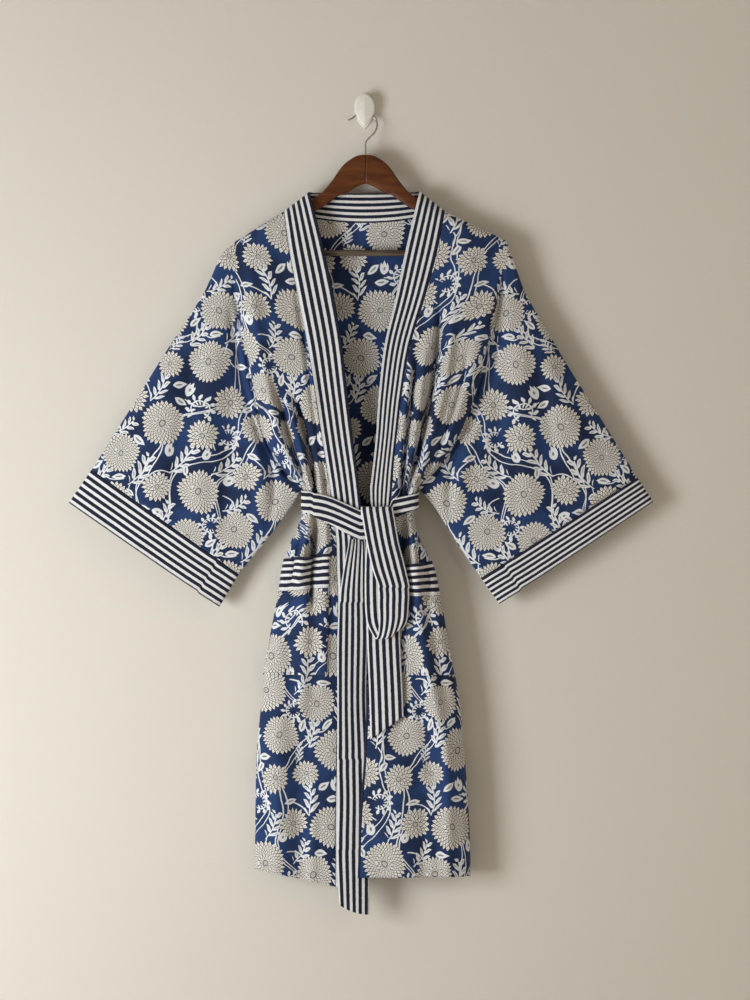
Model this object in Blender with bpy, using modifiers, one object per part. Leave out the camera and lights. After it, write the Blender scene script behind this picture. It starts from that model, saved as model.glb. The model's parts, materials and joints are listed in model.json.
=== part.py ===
# Open kimono robe with a tie belt, on a wooden hanger, on a leaf shaped wall hook
# Metres, +Z up, the viewer looks along +Y. Origin: middle of the wall hook's flat back.
# Right and left are the wearer's, so the right side lies at -X.
import math

import bmesh
import bpy
from mathutils import Vector

clothThick = 0.0015
bandThick = 0.0020
beltThick = 0.0022
seamGap = 0.0004
armholeRow = 7.0
wireRadius = 0.0016
barRadius = 0.0053
neckHalf = 0.140
pocketGape = 0.004

# Outline of the front and back panels, row by row from shoulder to hem
# name, outer height, right outer X, left outer X, height at the band seam, right seam X, left seam X
bodyRows = [
    ("shoulder", -0.229, -0.223, 0.247, -0.178, -0.140, 0.140),
    ("upper_chest", -0.281, -0.225, 0.240, -0.246, -0.131, 0.127),
    ("chest", -0.351, -0.217, 0.228, -0.326, -0.116, 0.106),
    ("bust", -0.429, -0.203, 0.210, -0.412, -0.099, 0.080),
    ("ribs", -0.508, -0.188, 0.189, -0.499, -0.085, 0.065),
    ("low_ribs", -0.578, -0.170, 0.160, -0.572, -0.074, 0.056),
    ("above_waist", -0.630, -0.139, 0.125, -0.628, -0.065, 0.050),
    ("underarm", -0.660, -0.108, 0.093, -0.660, -0.060, 0.048),
    ("waist", -0.708, -0.103, 0.087, -0.708, -0.054, 0.044),
    ("below_belt", -0.752, -0.119, 0.105, -0.752, -0.049, 0.041),
    ("pocket_mouth", -0.796, -0.141, 0.127, -0.796, -0.048, 0.036),
    ("hip", -0.857, -0.149, 0.133, -0.857, -0.046, 0.027),
    ("low_hip", -0.944, -0.165, 0.149, -0.944, -0.046, 0.013),
    ("thigh", -1.031, -0.179, 0.165, -1.031, -0.046, 0.008),
    ("knee", -1.136, -0.188, 0.175, -1.136, -0.050, 0.003),
    ("calf", -1.241, -0.190, 0.182, -1.241, -0.063, -0.004),
    ("hem", -1.340, -0.191, 0.185, -1.356, -0.069, -0.008),
]

# Depths of the same rows, out from the middle plane
# name, middle Y, right front, left front, back, armhole
depthRows = [
    ("shoulder", -0.0300, 0.0130, 0.0130, 0.0120, 0.0110),
    ("upper_chest", -0.0310, 0.0180, 0.0180, 0.0150, 0.0125),
    ("chest", -0.0330, 0.0210, 0.0210, 0.0180, 0.0135),
    ("bust", -0.0340, 0.0230, 0.0230, 0.0200, 0.0135),
    ("ribs", -0.0350, 0.0240, 0.0240, 0.0215, 0.0130),
    ("low_ribs", -0.0360, 0.0245, 0.0245, 0.0230, 0.0115),
    ("above_waist", -0.0365, 0.0235, 0.0235, 0.0240, 0.0090),
    ("underarm", -0.0365, 0.0225, 0.0225, 0.0245, 0.0080),
    ("waist", -0.0360, 0.0215, 0.0215, 0.0250, 0.0002),
    ("below_belt", -0.0360, 0.0230, 0.0240, 0.0240, 0.0002),
    ("pocket_mouth", -0.0370, 0.0240, 0.0270, 0.0240, 0.0002),
    ("hip", -0.0370, 0.0190, 0.0280, 0.0240, 0.0002),
    ("low_hip", -0.0370, 0.0150, 0.0285, 0.0240, 0.0002),
    ("thigh", -0.0370, 0.0135, 0.0290, 0.0240, 0.0002),
    ("knee", -0.0370, 0.0130, 0.0290, 0.0240, 0.0002),
    ("calf", -0.0370, 0.0130, 0.0290, 0.0240, 0.0002),
    ("hem", -0.0370, 0.0130, 0.0290, 0.0240, 0.0002),
]

# Neck bands: free edge of each row, and how far the left one is turned under (0 flat, 1 folded back)
# name, right free X, right free Z, left free X, left free Z, left turn
bandRows = [
    ("shoulder", -0.096, -0.144, 0.096, -0.143, 0.0),
    ("upper_chest", -0.073, -0.235, 0.073, -0.240, 0.0),
    ("chest", -0.055, -0.319, 0.055, -0.326, 0.0),
    ("bust", -0.040, -0.405, 0.035, -0.412, 0.0),
    ("ribs", -0.030, -0.494, 0.025, -0.499, 0.0),
    ("low_ribs", -0.021, -0.569, 0.020, -0.572, 0.0),
    ("above_waist", -0.013, -0.627, 0.014, -0.628, 0.0),
    ("underarm", -0.009, -0.660, 0.010, -0.660, 0.0),
    ("waist", -0.004, -0.708, 0.004, -0.708, 0.15),
    ("below_belt", 0.000, -0.752, -0.004, -0.752, 0.5),
    ("pocket_mouth", 0.002, -0.796, -0.012, -0.796, 0.9),
    ("hip", 0.004, -0.857, -0.021, -0.857, 1.0),
    ("low_hip", 0.004, -0.944, -0.035, -0.944, 1.0),
    ("thigh", 0.004, -1.031, -0.042, -1.031, 1.0),
    ("knee", 0.000, -1.136, -0.045, -1.136, 1.0),
    ("calf", -0.012, -1.241, -0.052, -1.241, 1.0),
    ("hem", -0.018, -1.352, -0.056, -1.356, 1.0),
]

# Folds of the front: a line through three points, width, height (out +, in -), strength at top and bottom
# name, x0, z0, x1, z1, x2, z2, width, height, top, bottom
frontFolds = [
    ("right_armhole_ridge", -0.205, -0.300, -0.180, -0.460, -0.130, -0.640, 0.016, 0.006, 0.0, 0.8),
    ("right_chest_valley", -0.147, -0.440, -0.128, -0.511, -0.116, -0.630, 0.011, -0.006, 0.0, 1.0),
    ("right_band_valley", -0.106, -0.470, -0.096, -0.560, -0.088, -0.650, 0.009, -0.005, 0.0, 1.0),
    ("right_band_ridge", -0.118, -0.430, -0.108, -0.540, -0.100, -0.650, 0.009, 0.005, 0.0, 1.0),
    ("right_upper_swell", -0.180, -0.240, -0.165, -0.350, -0.150, -0.460, 0.030, 0.005, 0.2, 0.3),
    ("left_deep_valley", 0.133, -0.350, 0.134, -0.470, 0.092, -0.610, 0.011, -0.009, 0.0, 1.0),
    ("left_body_fold", 0.222, -0.330, 0.192, -0.470, 0.135, -0.600, 0.016, 0.007, 0.0, 0.6),
    ("left_chest_ridge", 0.112, -0.360, 0.110, -0.480, 0.080, -0.640, 0.012, 0.006, 0.0, 1.0),
    ("left_shoulder_swell", 0.185, -0.240, 0.172, -0.330, 0.155, -0.430, 0.028, 0.005, 0.2, 0.3),
    ("left_underarm_pinch", 0.196, -0.500, 0.165, -0.560, 0.120, -0.620, 0.010, -0.006, 0.0, 0.8),
    ("right_skirt_valley", -0.090, -0.735, -0.088, -0.775, -0.086, -0.860, 0.008, -0.007, 1.0, 0.0),
    ("right_skirt_ridge", -0.105, -0.740, -0.107, -0.900, -0.112, -1.100, 0.014, 0.006, 1.0, 0.1),
    ("right_inner_ridge", -0.068, -0.740, -0.070, -0.850, -0.078, -1.050, 0.012, 0.004, 1.0, 0.0),
    ("right_low_swell", -0.150, -0.980, -0.155, -1.150, -0.155, -1.340, 0.026, 0.006, 0.0, 1.0),
    ("right_low_valley", -0.112, -1.060, -0.112, -1.200, -0.110, -1.340, 0.016, -0.004, 0.0, 1.0),
    ("left_skirt_valley", 0.055, -0.735, 0.055, -0.900, 0.060, -1.120, 0.014, -0.006, 1.0, 0.1),
    ("left_skirt_ridge", 0.077, -0.770, 0.108, -0.960, 0.145, -1.120, 0.014, 0.007, 0.6, 0.8),
    ("left_side_valley", 0.100, -0.780, 0.125, -0.940, 0.158, -1.060, 0.012, -0.005, 0.6, 0.3),
    ("left_low_ridge", 0.145, -1.120, 0.148, -1.230, 0.146, -1.356, 0.013, 0.007, 0.8, 1.0),
    ("left_low_swell", 0.050, -1.100, 0.060, -1.220, 0.065, -1.356, 0.030, 0.006, 0.0, 1.0),
]

# Folds of the back, same columns; out is towards the wall
backFolds = [
    ("right_fan", -0.170, -0.330, -0.120, -0.500, -0.070, -0.670, 0.018, 0.003, 0.0, 1.0),
    ("middle_fan", -0.010, -0.300, -0.008, -0.480, -0.006, -0.670, 0.020, -0.004, 0.0, 1.0),
    ("left_fan", 0.160, -0.330, 0.110, -0.500, 0.055, -0.670, 0.018, 0.003, 0.0, 1.0),
    ("right_waist_valley", -0.100, -0.440, -0.070, -0.560, -0.040, -0.670, 0.014, -0.005, 0.0, 1.0),
    ("left_waist_valley", 0.100, -0.440, 0.065, -0.560, 0.028, -0.670, 0.014, -0.005, 0.0, 1.0),
    ("right_skirt_fold", -0.055, -0.760, -0.080, -0.950, -0.110, -1.330, 0.020, -0.006, 1.0, 0.7),
    ("middle_skirt_fold", -0.010, -0.760, -0.004, -0.980, 0.004, -1.330, 0.020, -0.006, 1.0, 0.8),
    ("left_skirt_fold", 0.040, -0.760, 0.070, -0.950, 0.105, -1.330, 0.020, -0.006, 1.0, 0.7),
    ("right_side_fold", -0.085, -0.770, -0.125, -0.950, -0.155, -1.330, 0.014, -0.004, 1.0, 0.4),
    ("left_side_fold", 0.075, -0.770, 0.112, -0.950, 0.148, -1.330, 0.014, -0.004, 1.0, 0.4),
]

# Sleeve edges in the plane of the wall, shoulder or underarm to cuff seam, then the cuff's end
rightTopEdge = [(-0.223, -0.229), (-0.249, -0.254), (-0.268, -0.295), (-0.287, -0.332),
                (-0.350, -0.429), (-0.410, -0.525), (-0.476, -0.629)]
rightLowEdge = [(-0.1135, -0.658), (-0.130, -0.690), (-0.164, -0.739), (-0.220, -0.811)]
rightCuffEnd = [(-0.516, -0.687), (-0.254, -0.868)]
leftTopEdge = [(0.247, -0.229), (0.264, -0.277), (0.282, -0.324), (0.311, -0.373),
               (0.351, -0.442), (0.395, -0.512), (0.476, -0.643)]
leftLowEdge = [(0.098, -0.660), (0.124, -0.692), (0.161, -0.753), (0.204, -0.818)]
leftCuffEnd = [(0.504, -0.685), (0.236, -0.863)]

# Sleeve folds in the same plane, front side; the back side takes half of each
sleeveFolds = [
    ("right_drop_ridge", -0.250, -0.300, -0.270, -0.480, -0.290, -0.700, 0.022, 0.006, 0.0, 0.6),
    ("right_inner_valley", -0.222, -0.380, -0.228, -0.520, -0.240, -0.700, 0.018, -0.004, 0.0, 0.6),
    ("right_outer_ridge", -0.320, -0.420, -0.360, -0.520, -0.410, -0.640, 0.020, 0.004, 0.0, 0.7),
    ("right_underarm_ridge", -0.200, -0.560, -0.180, -0.640, -0.190, -0.720, 0.014, 0.005, 0.4, 0.3),
    ("left_drop_ridge", 0.262, -0.330, 0.275, -0.480, 0.285, -0.700, 0.022, 0.006, 0.0, 0.6),
    ("left_inner_valley", 0.235, -0.380, 0.232, -0.520, 0.240, -0.700, 0.018, -0.004, 0.0, 0.6),
    ("left_outer_ridge", 0.320, -0.430, 0.360, -0.540, 0.400, -0.650, 0.020, 0.004, 0.0, 0.7),
    ("left_underarm_ridge", 0.190, -0.540, 0.170, -0.620, 0.165, -0.710, 0.014, 0.005, 0.4, 0.3),
]

# Wooden hanger arm, mirrored
# name, distance from the middle, top, bottom
armRows = [
    ("seam", 0.0002, -0.0795, -0.1262),
    ("crown", 0.0100, -0.0800, -0.1268),
    ("neck", 0.0190, -0.0822, -0.1310),
    ("slope", 0.0340, -0.0920, -0.1415),
    ("dip", 0.0460, -0.1050, -0.1495),
    ("bend", 0.0590, -0.1240, -0.1585),
    ("shoulder", 0.0780, -0.1460, -0.1715),
    ("run_1", 0.1050, -0.1628, -0.1860),
    ("run_2", 0.1400, -0.1815, -0.2040),
    ("run_3", 0.1800, -0.2040, -0.2300),
    ("lobe", 0.1860, -0.2085, -0.2570),
    ("lobe_end", 0.2020, -0.2190, -0.2570),
    ("end", 0.2120, -0.2290, -0.2500),
]

# Hanger wire from the wood up and over to its tip
wirePath = [
    (0.0020, -0.0300, -0.0792), (0.0020, -0.0290, -0.0680), (0.0022, -0.0270, -0.0580),
    (0.0060, -0.0245, -0.0510), (0.0115, -0.0220, -0.0455), (0.0165, -0.0190, -0.0400),
    (0.0205, -0.0160, -0.0330), (0.0222, -0.0130, -0.0260), (0.0215, -0.0110, -0.0195),
    (0.0190, -0.0100, -0.0140), (0.0145, -0.0097, -0.0090), (0.0085, -0.0096, -0.0055),
    (0.0020, -0.0096, -0.0036), (-0.0040, -0.0096, -0.0032), (-0.0100, -0.0096, -0.0045),
    (-0.0155, -0.0098, -0.0080), (-0.0200, -0.0102, -0.0120), (-0.0250, -0.0110, -0.0150),
    (-0.0290, -0.0120, -0.0162),
]

# Belt parts that hang
# name, height, left X, right X, Y
longTailRows = [
    ("knot", -0.7502, -0.0230, 0.0010, -0.0650), ("leave", -0.765, -0.0270, 0.0020, -0.0648),
    ("spread", -0.808, -0.0360, 0.0030, -0.0632), ("crease", -0.857, -0.0430, 0.0040, -0.0604),
    ("upper", -0.927, -0.0470, 0.0050, -0.0578), ("middle", -1.031, -0.0470, 0.0030, -0.0558),
    ("fold", -1.133, -0.0470, 0.0080, -0.0540), ("lower", -1.206, -0.0450, 0.0095, -0.0538),
    ("calf", -1.293, -0.0470, 0.0090, -0.0538), ("hem", -1.345, -0.0450, 0.0085, -0.0538),
    ("end", -1.404, -0.0440, 0.0080, -0.0540),
]
shortTailRows = [
    ("knot", -0.7425, 0.0080, 0.0480, -0.0694), ("behind_loop", -0.800, 0.0070, 0.0560, -0.0695),
    ("hip", -0.865, 0.0040, 0.0600, -0.0696), ("clear", -0.925, 0.0045, 0.0620, -0.0700),
    ("low", -1.010, 0.0080, 0.0650, -0.0712), ("end", -1.098, 0.0105, 0.0680, -0.0715),
]
loopFrontRows = [
    ("knot", -0.7422, 0.0040, 0.0560, -0.0768), ("swell", -0.772, 0.0075, 0.0650, -0.0820),
    ("crease", -0.806, 0.0150, 0.0740, -0.0850), ("belly", -0.840, 0.0240, 0.0780, -0.0850),
    ("low", -0.880, 0.0260, 0.0760, -0.0845), ("turn", -0.908, 0.0240, 0.0700, -0.0830),
    ("bottom", -0.9200, 0.0220, 0.0660, -0.0810),
]
loopBackRows = [
    ("bottom", -0.9200, 0.0200, 0.0640, -0.0752), ("turn", -0.908, 0.0110, 0.0620, -0.0742),
    ("low", -0.890, 0.0030, 0.0600, -0.0735), ("belly", -0.840, 0.0010, 0.0580, -0.0733),
    ("knot", -0.7422, 0.0040, 0.0520, -0.0731),
]

# Knot, a short folded strap over the wrap
# name, lower edge, upper edge, X, Y
knotRows = [
    ("in", -0.7425, -0.692, -0.0125, -0.0676), ("rise", -0.7417, -0.694, 0.0010, -0.0735),
    ("crown", -0.7417, -0.694, 0.0220, -0.0768), ("fall", -0.7417, -0.694, 0.0430, -0.0765),
    ("out", -0.7380, -0.697, 0.0570, -0.0676),
]


def cubic(p0, p1, p2, p3, f):
    return 0.5 * (2 * p1 + (p2 - p0) * f + (2 * p0 - 5 * p1 + 4 * p2 - p3) * f * f
                  + (3 * p1 - p0 - 3 * p2 + p3) * f ** 3)


def atRow(rows, column, t):
    t = max(0.0, min(len(rows) - 1.0, t))
    i = min(int(t), len(rows) - 2)
    p1 = rows[i][column]
    p2 = rows[i + 1][column]
    p0 = rows[i - 1][column] if i > 0 else 2 * p1 - p2
    p3 = rows[i + 2][column] if i + 2 < len(rows) else 2 * p2 - p1
    return cubic(p0, p1, p2, p3, t - i)


def alongPath(path, f):
    rows = [(0,) + tuple(p) for p in path]
    t = f * (len(path) - 1)
    return [atRow(rows, c + 1, t) for c in range(len(path[0]))]


def smooth(f):
    f = max(0.0, min(1.0, f))
    return f * f * (3 - 2 * f)


def roll(f, power=2.4):
    f = max(0.0, min(1.0, f))
    return (1 - (1 - f) ** power) ** (1 / power)


def foldHeight(folds, x, z):
    total = 0.0
    for name, x0, z0, x1, z1, x2, z2, width, height, top, bottom in folds:
        if z > max(z0, z2) + 0.05 or z < min(z0, z2) - 0.05 or abs(x - x1) > 0.25:
            continue
        f = (z0 - z) / (z0 - z2)
        g = max(0.0, min(1.0, f))
        h = (z0 - z1) / (z0 - z2)
        middle = x0 + (x2 - x0) * g + (x1 - x0 - (x2 - x0) * h) * g * (1 - g) / (h * (1 - h))
        ends = (1 - smooth(1 - g * 3.5)) * (1 - top) + top
        ends *= (1 - smooth(1 - (1 - g) * 3.5)) * (1 - bottom) + bottom
        over = max(0.0, -f, f - 1) * abs(z0 - z2)
        total += height * ends * math.exp(-((x - middle) / width) ** 2) * math.exp(-(over / 0.03) ** 2)
    return total


def beltPress(z):
    return 1.0 - 0.85 * math.exp(-((z + 0.700) / 0.055) ** 2)


def topRoll(t):
    return roll(t / 0.25, 2.0)


def lensClose(t):
    return roll((armholeRow - t) / 0.8, 2.0)


def rowDepth(side, t, u):
    # Half depth of the front at a share u of the way from the outer edge to the band seam
    full = atRow(depthRows, 2 if side < 0 else 3, t)
    arm = atRow(depthRows, 5, t) * lensClose(t)
    open_ = arm + (full - arm) * smooth(u / 0.35)
    shut = arm + (full - arm) * roll(u / 0.22)
    mix = smooth((t - 6.40) / 0.60)
    return (open_ * (1 - mix) + shut * mix) * topRoll(t)


def frontPoint(side, u, t):
    outerX = atRow(bodyRows, 2 if side < 0 else 3, t)
    seamX = atRow(bodyRows, 5 if side < 0 else 6, t)
    outerZ = atRow(bodyRows, 1, t)
    seamZ = atRow(bodyRows, 4, t)
    gapPart = seamGap / abs(seamX - outerX)
    f = u * (1 - gapPart)
    x = outerX + (seamX - outerX) * f
    z = outerZ + (seamZ - outerZ) * f
    edge = smooth(u / 0.3) * smooth(t / 0.6)
    y = atRow(depthRows, 1, t) - rowDepth(side, t, u) - seamGap / 2
    y -= foldHeight(frontFolds, x, z) * edge * beltPress(z)
    return Vector((x, y, z))


def bandPoint(side, c, t):
    # c runs from the panel seam to the free edge
    seamX = atRow(bodyRows, 5 if side < 0 else 6, t)
    seamZ = atRow(bodyRows, 4, t)
    freeX = atRow(bandRows, 1 if side < 0 else 3, t)
    freeZ = atRow(bandRows, 2 if side < 0 else 4, t)
    turn = atRow(bandRows, 5, t) if side > 0 else 0.0
    turn = max(0.0, min(1.0, turn))
    width = math.hypot(freeX - seamX, freeZ - seamZ)
    s = seamGap / 2 + c * (width - seamGap / 2)
    radius = 0.0033
    bent = min(s / radius, math.pi)
    after = max(0.0, s - math.pi * radius)
    across = s * (1 - turn) + (radius * math.sin(bent) - after) * turn
    back = radius * (1 - math.cos(bent)) * turn + 1.2 * turn * (1 - turn) * max(0.0, s - 0.006)
    x = seamX + (freeX - seamX) * across / width
    z = seamZ + (freeZ - seamZ) * across / width
    y = atRow(depthRows, 1, t) - rowDepth(side, t, 1.0) - seamGap / 2 + back
    y -= foldHeight(frontFolds, x, z) * smooth(t / 0.6) * beltPress(z)
    if side < 0:
        y += 0.004 * c * smooth((t - 11) / 3)
    return Vector((x, y, z))


def topLine(x):
    # Height of the shoulder line and the back neckline above the armhole's top
    if abs(x) < neckHalf:
        return 0.051 - 0.019 * (1 - (x / neckHalf) ** 2)
    outer = 0.223 if x < 0 else 0.247
    return 0.051 * (outer - abs(x)) / (outer - neckHalf)


def neckFactor(x):
    return roll((neckHalf - abs(x)) / 0.012, 2.0)


def backPoint(a, t):
    right = atRow(bodyRows, 2, t)
    left = atRow(bodyRows, 3, t)
    x = right + (left - right) * a
    topX = -0.223 + 0.470 * a
    lift = (atRow(bodyRows, 4, t) - atRow(bodyRows, 1, t)) / 0.051 if t < 7 else 0.0
    drop = 0.0
    if t > 14:
        drop = -0.010 * smooth((t - 14) / 2) * (1 - (2 * a - 1) ** 2)
    z = atRow(bodyRows, 1, t) + topLine(topX) * max(0.0, lift) + drop
    u = min(a, 1 - a) * 2
    full = atRow(depthRows, 4, t)
    arm = atRow(depthRows, 5, t) * lensClose(t)
    open_ = arm + (full - arm) * smooth(u / 0.30)
    shut = arm + (full - arm) * roll(u / 0.16)
    mix = smooth((t - 6.40) / 0.60)
    top = topRoll(t)
    if abs(topX) < neckHalf:
        top += (1 - top) * neckFactor(topX)
    if abs(topX) < neckHalf + 0.002 and t < 0.3:
        z -= (0.0006 + 0.0006 * smooth((abs(topX) - 0.11) / 0.02)) * (1 - t / 0.3)
    y = atRow(depthRows, 1, t) + (open_ * (1 - mix) + shut * mix) * top + seamGap / 2
    y += foldHeight(backFolds, x, z) * smooth(u / 0.25) * smooth(t / 0.6) * beltPress(z)
    return Vector((x, min(y, -0.0050), z))


def neckBackPoint(s, c):
    # s runs from the right neck side to the left one, c from the lower seam to the top edge
    lowX = -neckHalf + 2 * neckHalf * s
    lowZ = -0.229 + topLine(lowX)
    highX = -0.096 + 0.192 * s
    highZ = -0.1440 + 0.001 * s - 0.002 * math.sin(math.pi * s)
    x = lowX + (highX - lowX) * c
    z = lowZ + (highZ - lowZ) * c
    y = -0.0300 + seamGap / 2 + 0.0120 * neckFactor(lowX)
    y -= 0.0035 * math.sin(math.pi * c) * math.sin(math.pi * s) ** 2
    return Vector((x, y, z))


def armholePoint(side, w):
    t = armholeRow * w
    return atRow(bodyRows, 2 if side < 0 else 3, t), atRow(bodyRows, 1, t)


def sleevePoint(side, ring, v):
    # ring: 0 top edge, 0.5 underarm, front side first; v: 0 armhole, 1 cuff seam
    front = ring <= 0.5
    angle = 2 * math.pi * ring
    w = (1 - math.cos(angle)) / 2
    topEdge = rightTopEdge if side < 0 else leftTopEdge
    lowEdge = rightLowEdge if side < 0 else leftLowEdge
    ax, az = armholePoint(side, w)
    bx, bz = armholePoint(side, min(1.0, w + 0.01))
    cx, cz = armholePoint(side, max(0.0, w - 0.01))
    length = math.hypot(bx - cx, bz - cz)
    gap = 0.0006 + 0.0006 * (1 - smooth(w / 0.06)) + 0.0022 * smooth((w - 0.80) / 0.20)
    ax += side * abs(bz - cz) / length * gap
    az += -abs(bx - cx) / length * gap * smooth(w * 4)
    tx, tz = alongPath(topEdge, v)
    lx, lz = alongPath(lowEdge, v)
    t0x, t0z = topEdge[0]
    l0x, l0z = lowEdge[0]
    t1x, t1z = topEdge[-1]
    l1x, l1z = lowEdge[-1]
    endX = t1x + (l1x - t1x) * w
    endZ = t1z + (l1z - t1z) * w
    x = (1 - v) * ax + v * endX + (1 - w) * tx + w * lx
    x -= (1 - w) * ((1 - v) * t0x + v * t1x) + w * ((1 - v) * l0x + v * l1x)
    z = (1 - v) * az + v * endZ + (1 - w) * tz + w * lz
    z -= (1 - w) * ((1 - v) * t0z + v * t1z) + w * ((1 - v) * l0z + v * l1z)
    t = armholeRow * w
    armDepth = atRow(depthRows, 5, t) * lensClose(t) * topRoll(t) + seamGap / 2 * math.sin(angle / 2)
    tubeDepth = 0.0150 * abs(math.sin(angle)) ** 0.75
    mix = smooth(v * 1.6)
    depth = armDepth * (1 - mix) + tubeDepth * mix
    middle = atRow(depthRows, 1, t) * (1 - mix) - 0.0310 * mix
    fold = foldHeight(sleeveFolds, x, z) * min(1.0, depth / 0.010) * smooth(v * 6)
    fold *= 1 - smooth((v - 0.85) / 0.15) * 0.5
    if front:
        return Vector((x, middle - depth - fold, z))
    return Vector((x, middle + depth + fold * 0.4, z))


def cuffPoint(side, ring, v):
    end = rightCuffEnd if side < 0 else leftCuffEnd
    start = sleevePoint(side, ring, 1.0)
    angle = 2 * math.pi * ring
    w = (1 - math.cos(angle)) / 2
    ex = end[0][0] + (end[1][0] - end[0][0]) * w
    ez = end[0][1] + (end[1][1] - end[0][1]) * w
    length = math.hypot(ex - start.x, ez - start.z)
    f = seamGap / length + v * (1 - seamGap / length)
    x = start.x + (ex - start.x) * f
    z = start.z + (ez - start.z) * f
    return Vector((x, start.y, z))


def pocketPoint(side, uu, t, t0, t1, out, gape):
    # uu is the share across the panel, t the share down the pocket or its band
    tt = t0 + (t1 - t0) * t
    here = frontPoint(side, uu, tt)
    du = frontPoint(side, uu + 0.01, tt) - frontPoint(side, uu - 0.01, tt)
    dt = frontPoint(side, uu, tt + 0.02) - frontPoint(side, uu, tt - 0.02)
    normal = du.cross(dt).normalized()
    if normal.y > 0:
        normal = -normal
    lift = out + gape * (1 - t) ** 2
    return here + normal * lift


def stripPoint(rows, c, f, bulge=0.0):
    t = f * (len(rows) - 1)
    z = atRow(rows, 1, t)
    left = atRow(rows, 2, t)
    right = atRow(rows, 3, t)
    y = atRow(rows, 4, t)
    x = left + (right - left) * c
    return Vector((x, y - bulge * math.sin(math.pi * c), z))


def makeBeltRing():
    # Boxy oval round the waist, as points with the share of its length
    points = []
    for k in range(721):
        angle = 2 * math.pi * k / 720
        sx = -math.sin(angle)
        cy = math.cos(angle)
        deep = 0.0285 if cy > 0 else 0.0290
        x = -0.0080 + 0.1050 * math.copysign(abs(sx) ** 0.30, sx)
        y = -0.0365 - deep * math.copysign(abs(cy) ** 0.30, cy)
        points.append((x, y))
    lengths = [0.0]
    for k in range(1, len(points)):
        step = math.hypot(points[k][0] - points[k - 1][0], points[k][1] - points[k - 1][1])
        lengths.append(lengths[-1] + step)
    return points, [v / lengths[-1] for v in lengths]


beltRing, beltShares = makeBeltRing()

# Belt round the waist at equal shares of its length, from the knot over the right side and the back
# name, height of its middle, width
beltRows = [
    ("knot", -0.724, 0.050), ("right_front", -0.699, 0.042), ("right_side", -0.688, 0.031),
    ("back_right", -0.690, 0.046), ("back_middle", -0.692, 0.052), ("back_left", -0.691, 0.048),
    ("left_side", -0.690, 0.037), ("left_front", -0.713, 0.040), ("knot_end", -0.722, 0.046),
]


def beltPoint(c, s):
    # s from the knot round the right side, the back and the left side to the knot again
    k = 0
    while k < len(beltShares) - 2 and beltShares[k + 1] < s:
        k += 1
    f = (s - beltShares[k]) / max(1e-9, beltShares[k + 1] - beltShares[k])
    x = beltRing[k][0] + (beltRing[k + 1][0] - beltRing[k][0]) * f
    y = beltRing[k][1] + (beltRing[k + 1][1] - beltRing[k][1]) * f
    middle = atRow(beltRows, 1, s * 8)
    tall = atRow(beltRows, 2, s * 8)
    z = middle + (c - 0.5) * tall
    return Vector((x, y, z))


def addSheet(name, point, columns, rows, thick, colour, closed=False):
    # An open grid whose points follow the surface, made a wall with Solidify
    mesh = bpy.data.meshes.new(name)
    bm = bmesh.new()
    bmesh.ops.create_grid(bm, x_segments=len(columns) - 1, y_segments=len(rows) - 1, size=0.5)
    for vert in bm.verts:
        i = round((vert.co.x + 0.5) * (len(columns) - 1))
        j = round((vert.co.y + 0.5) * (len(rows) - 1))
        vert.co = point(columns[i], rows[j])
    if closed:
        bmesh.ops.remove_doubles(bm, verts=bm.verts, dist=0.00002)
    bmesh.ops.recalc_face_normals(bm, faces=bm.faces)
    bm.to_mesh(mesh)
    bm.free()
    mesh.shade_smooth()
    obj = bpy.data.objects.new(name, mesh)
    robe.objects.link(obj)
    mesh.materials.append(colour)
    wall = obj.modifiers.new("wall", "SOLIDIFY")
    wall.thickness = thick
    wall.offset = 0.0
    return obj


def nearEdge(u, t):
    # The column that squares the side seam spreads out beside the armhole
    return 0.0095 if 0.0 < u < 0.002 and t < armholeRow - 0.001 else u


def makeMaterial(name, colour, roughness, metallic=0.0):
    material = bpy.data.materials.new(name)
    material.use_nodes = True
    shader = material.node_tree.nodes["Principled BSDF"]
    shader.inputs["Base Color"].default_value = (colour[0], colour[1], colour[2], 1)
    shader.inputs["Roughness"].default_value = roughness
    shader.inputs["Metallic"].default_value = metallic
    return material


def spaced(n, power=1.0):
    return [(i / n) ** power for i in range(n + 1)]


def sharedSteps(steps, low, high):
    # The shared columns or rows from low to high
    return [t for t in steps if low - 1e-6 < t < high + 1e-6]


def leafHalfWidth(f):
    # Half width of the pointed oval at a share f from its lower tip to its upper tip
    return 0.0186 * math.sin(math.pi * f ** 0.92) ** 0.82


def addLeaf(name, y0, y1, ridge, colour, collection):
    # A flat pointed oval with a low ridge down its middle
    outline = []
    n = 14
    for i in range(n + 1):
        f = i / n
        outline.append((leafHalfWidth(f), -0.0310 + 0.0620 * f))
    for i in range(n - 1, 0, -1):
        f = i / n
        outline.append((-leafHalfWidth(f), -0.0310 + 0.0620 * f))
    mesh = bpy.data.meshes.new(name)
    bm = bmesh.new()
    back = [bm.verts.new((x, y0, z)) for x, z in outline]
    front = [bm.verts.new((x, y1, z)) for x, z in outline]
    spine = [bm.verts.new((0, y1 - ridge * math.sin(math.pi * i / n), -0.0310 + 0.0620 * i / n))
             for i in range(1, n)]
    count = len(outline)
    bm.faces.new(back)
    for i in range(count):
        k = (i + 1) % count
        bm.faces.new((back[i], back[k], front[k], front[i]))
    line = [front[0]] + spine + [front[n]]
    for i in range(n):
        right = [front[i], front[i + 1]]
        leftA = front[(count - i) % count]
        leftB = front[(count - i - 1) % count]
        bm.faces.new([v for v in dict.fromkeys([line[i], right[0], right[1], line[i + 1]])])
        bm.faces.new([v for v in dict.fromkeys([line[i], line[i + 1], leftB, leftA])])
    bmesh.ops.recalc_face_normals(bm, faces=bm.faces)
    bm.to_mesh(mesh)
    bm.free()
    obj = bpy.data.objects.new(name, mesh)
    collection.objects.link(obj)
    mesh.materials.append(colour)
    return obj


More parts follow.
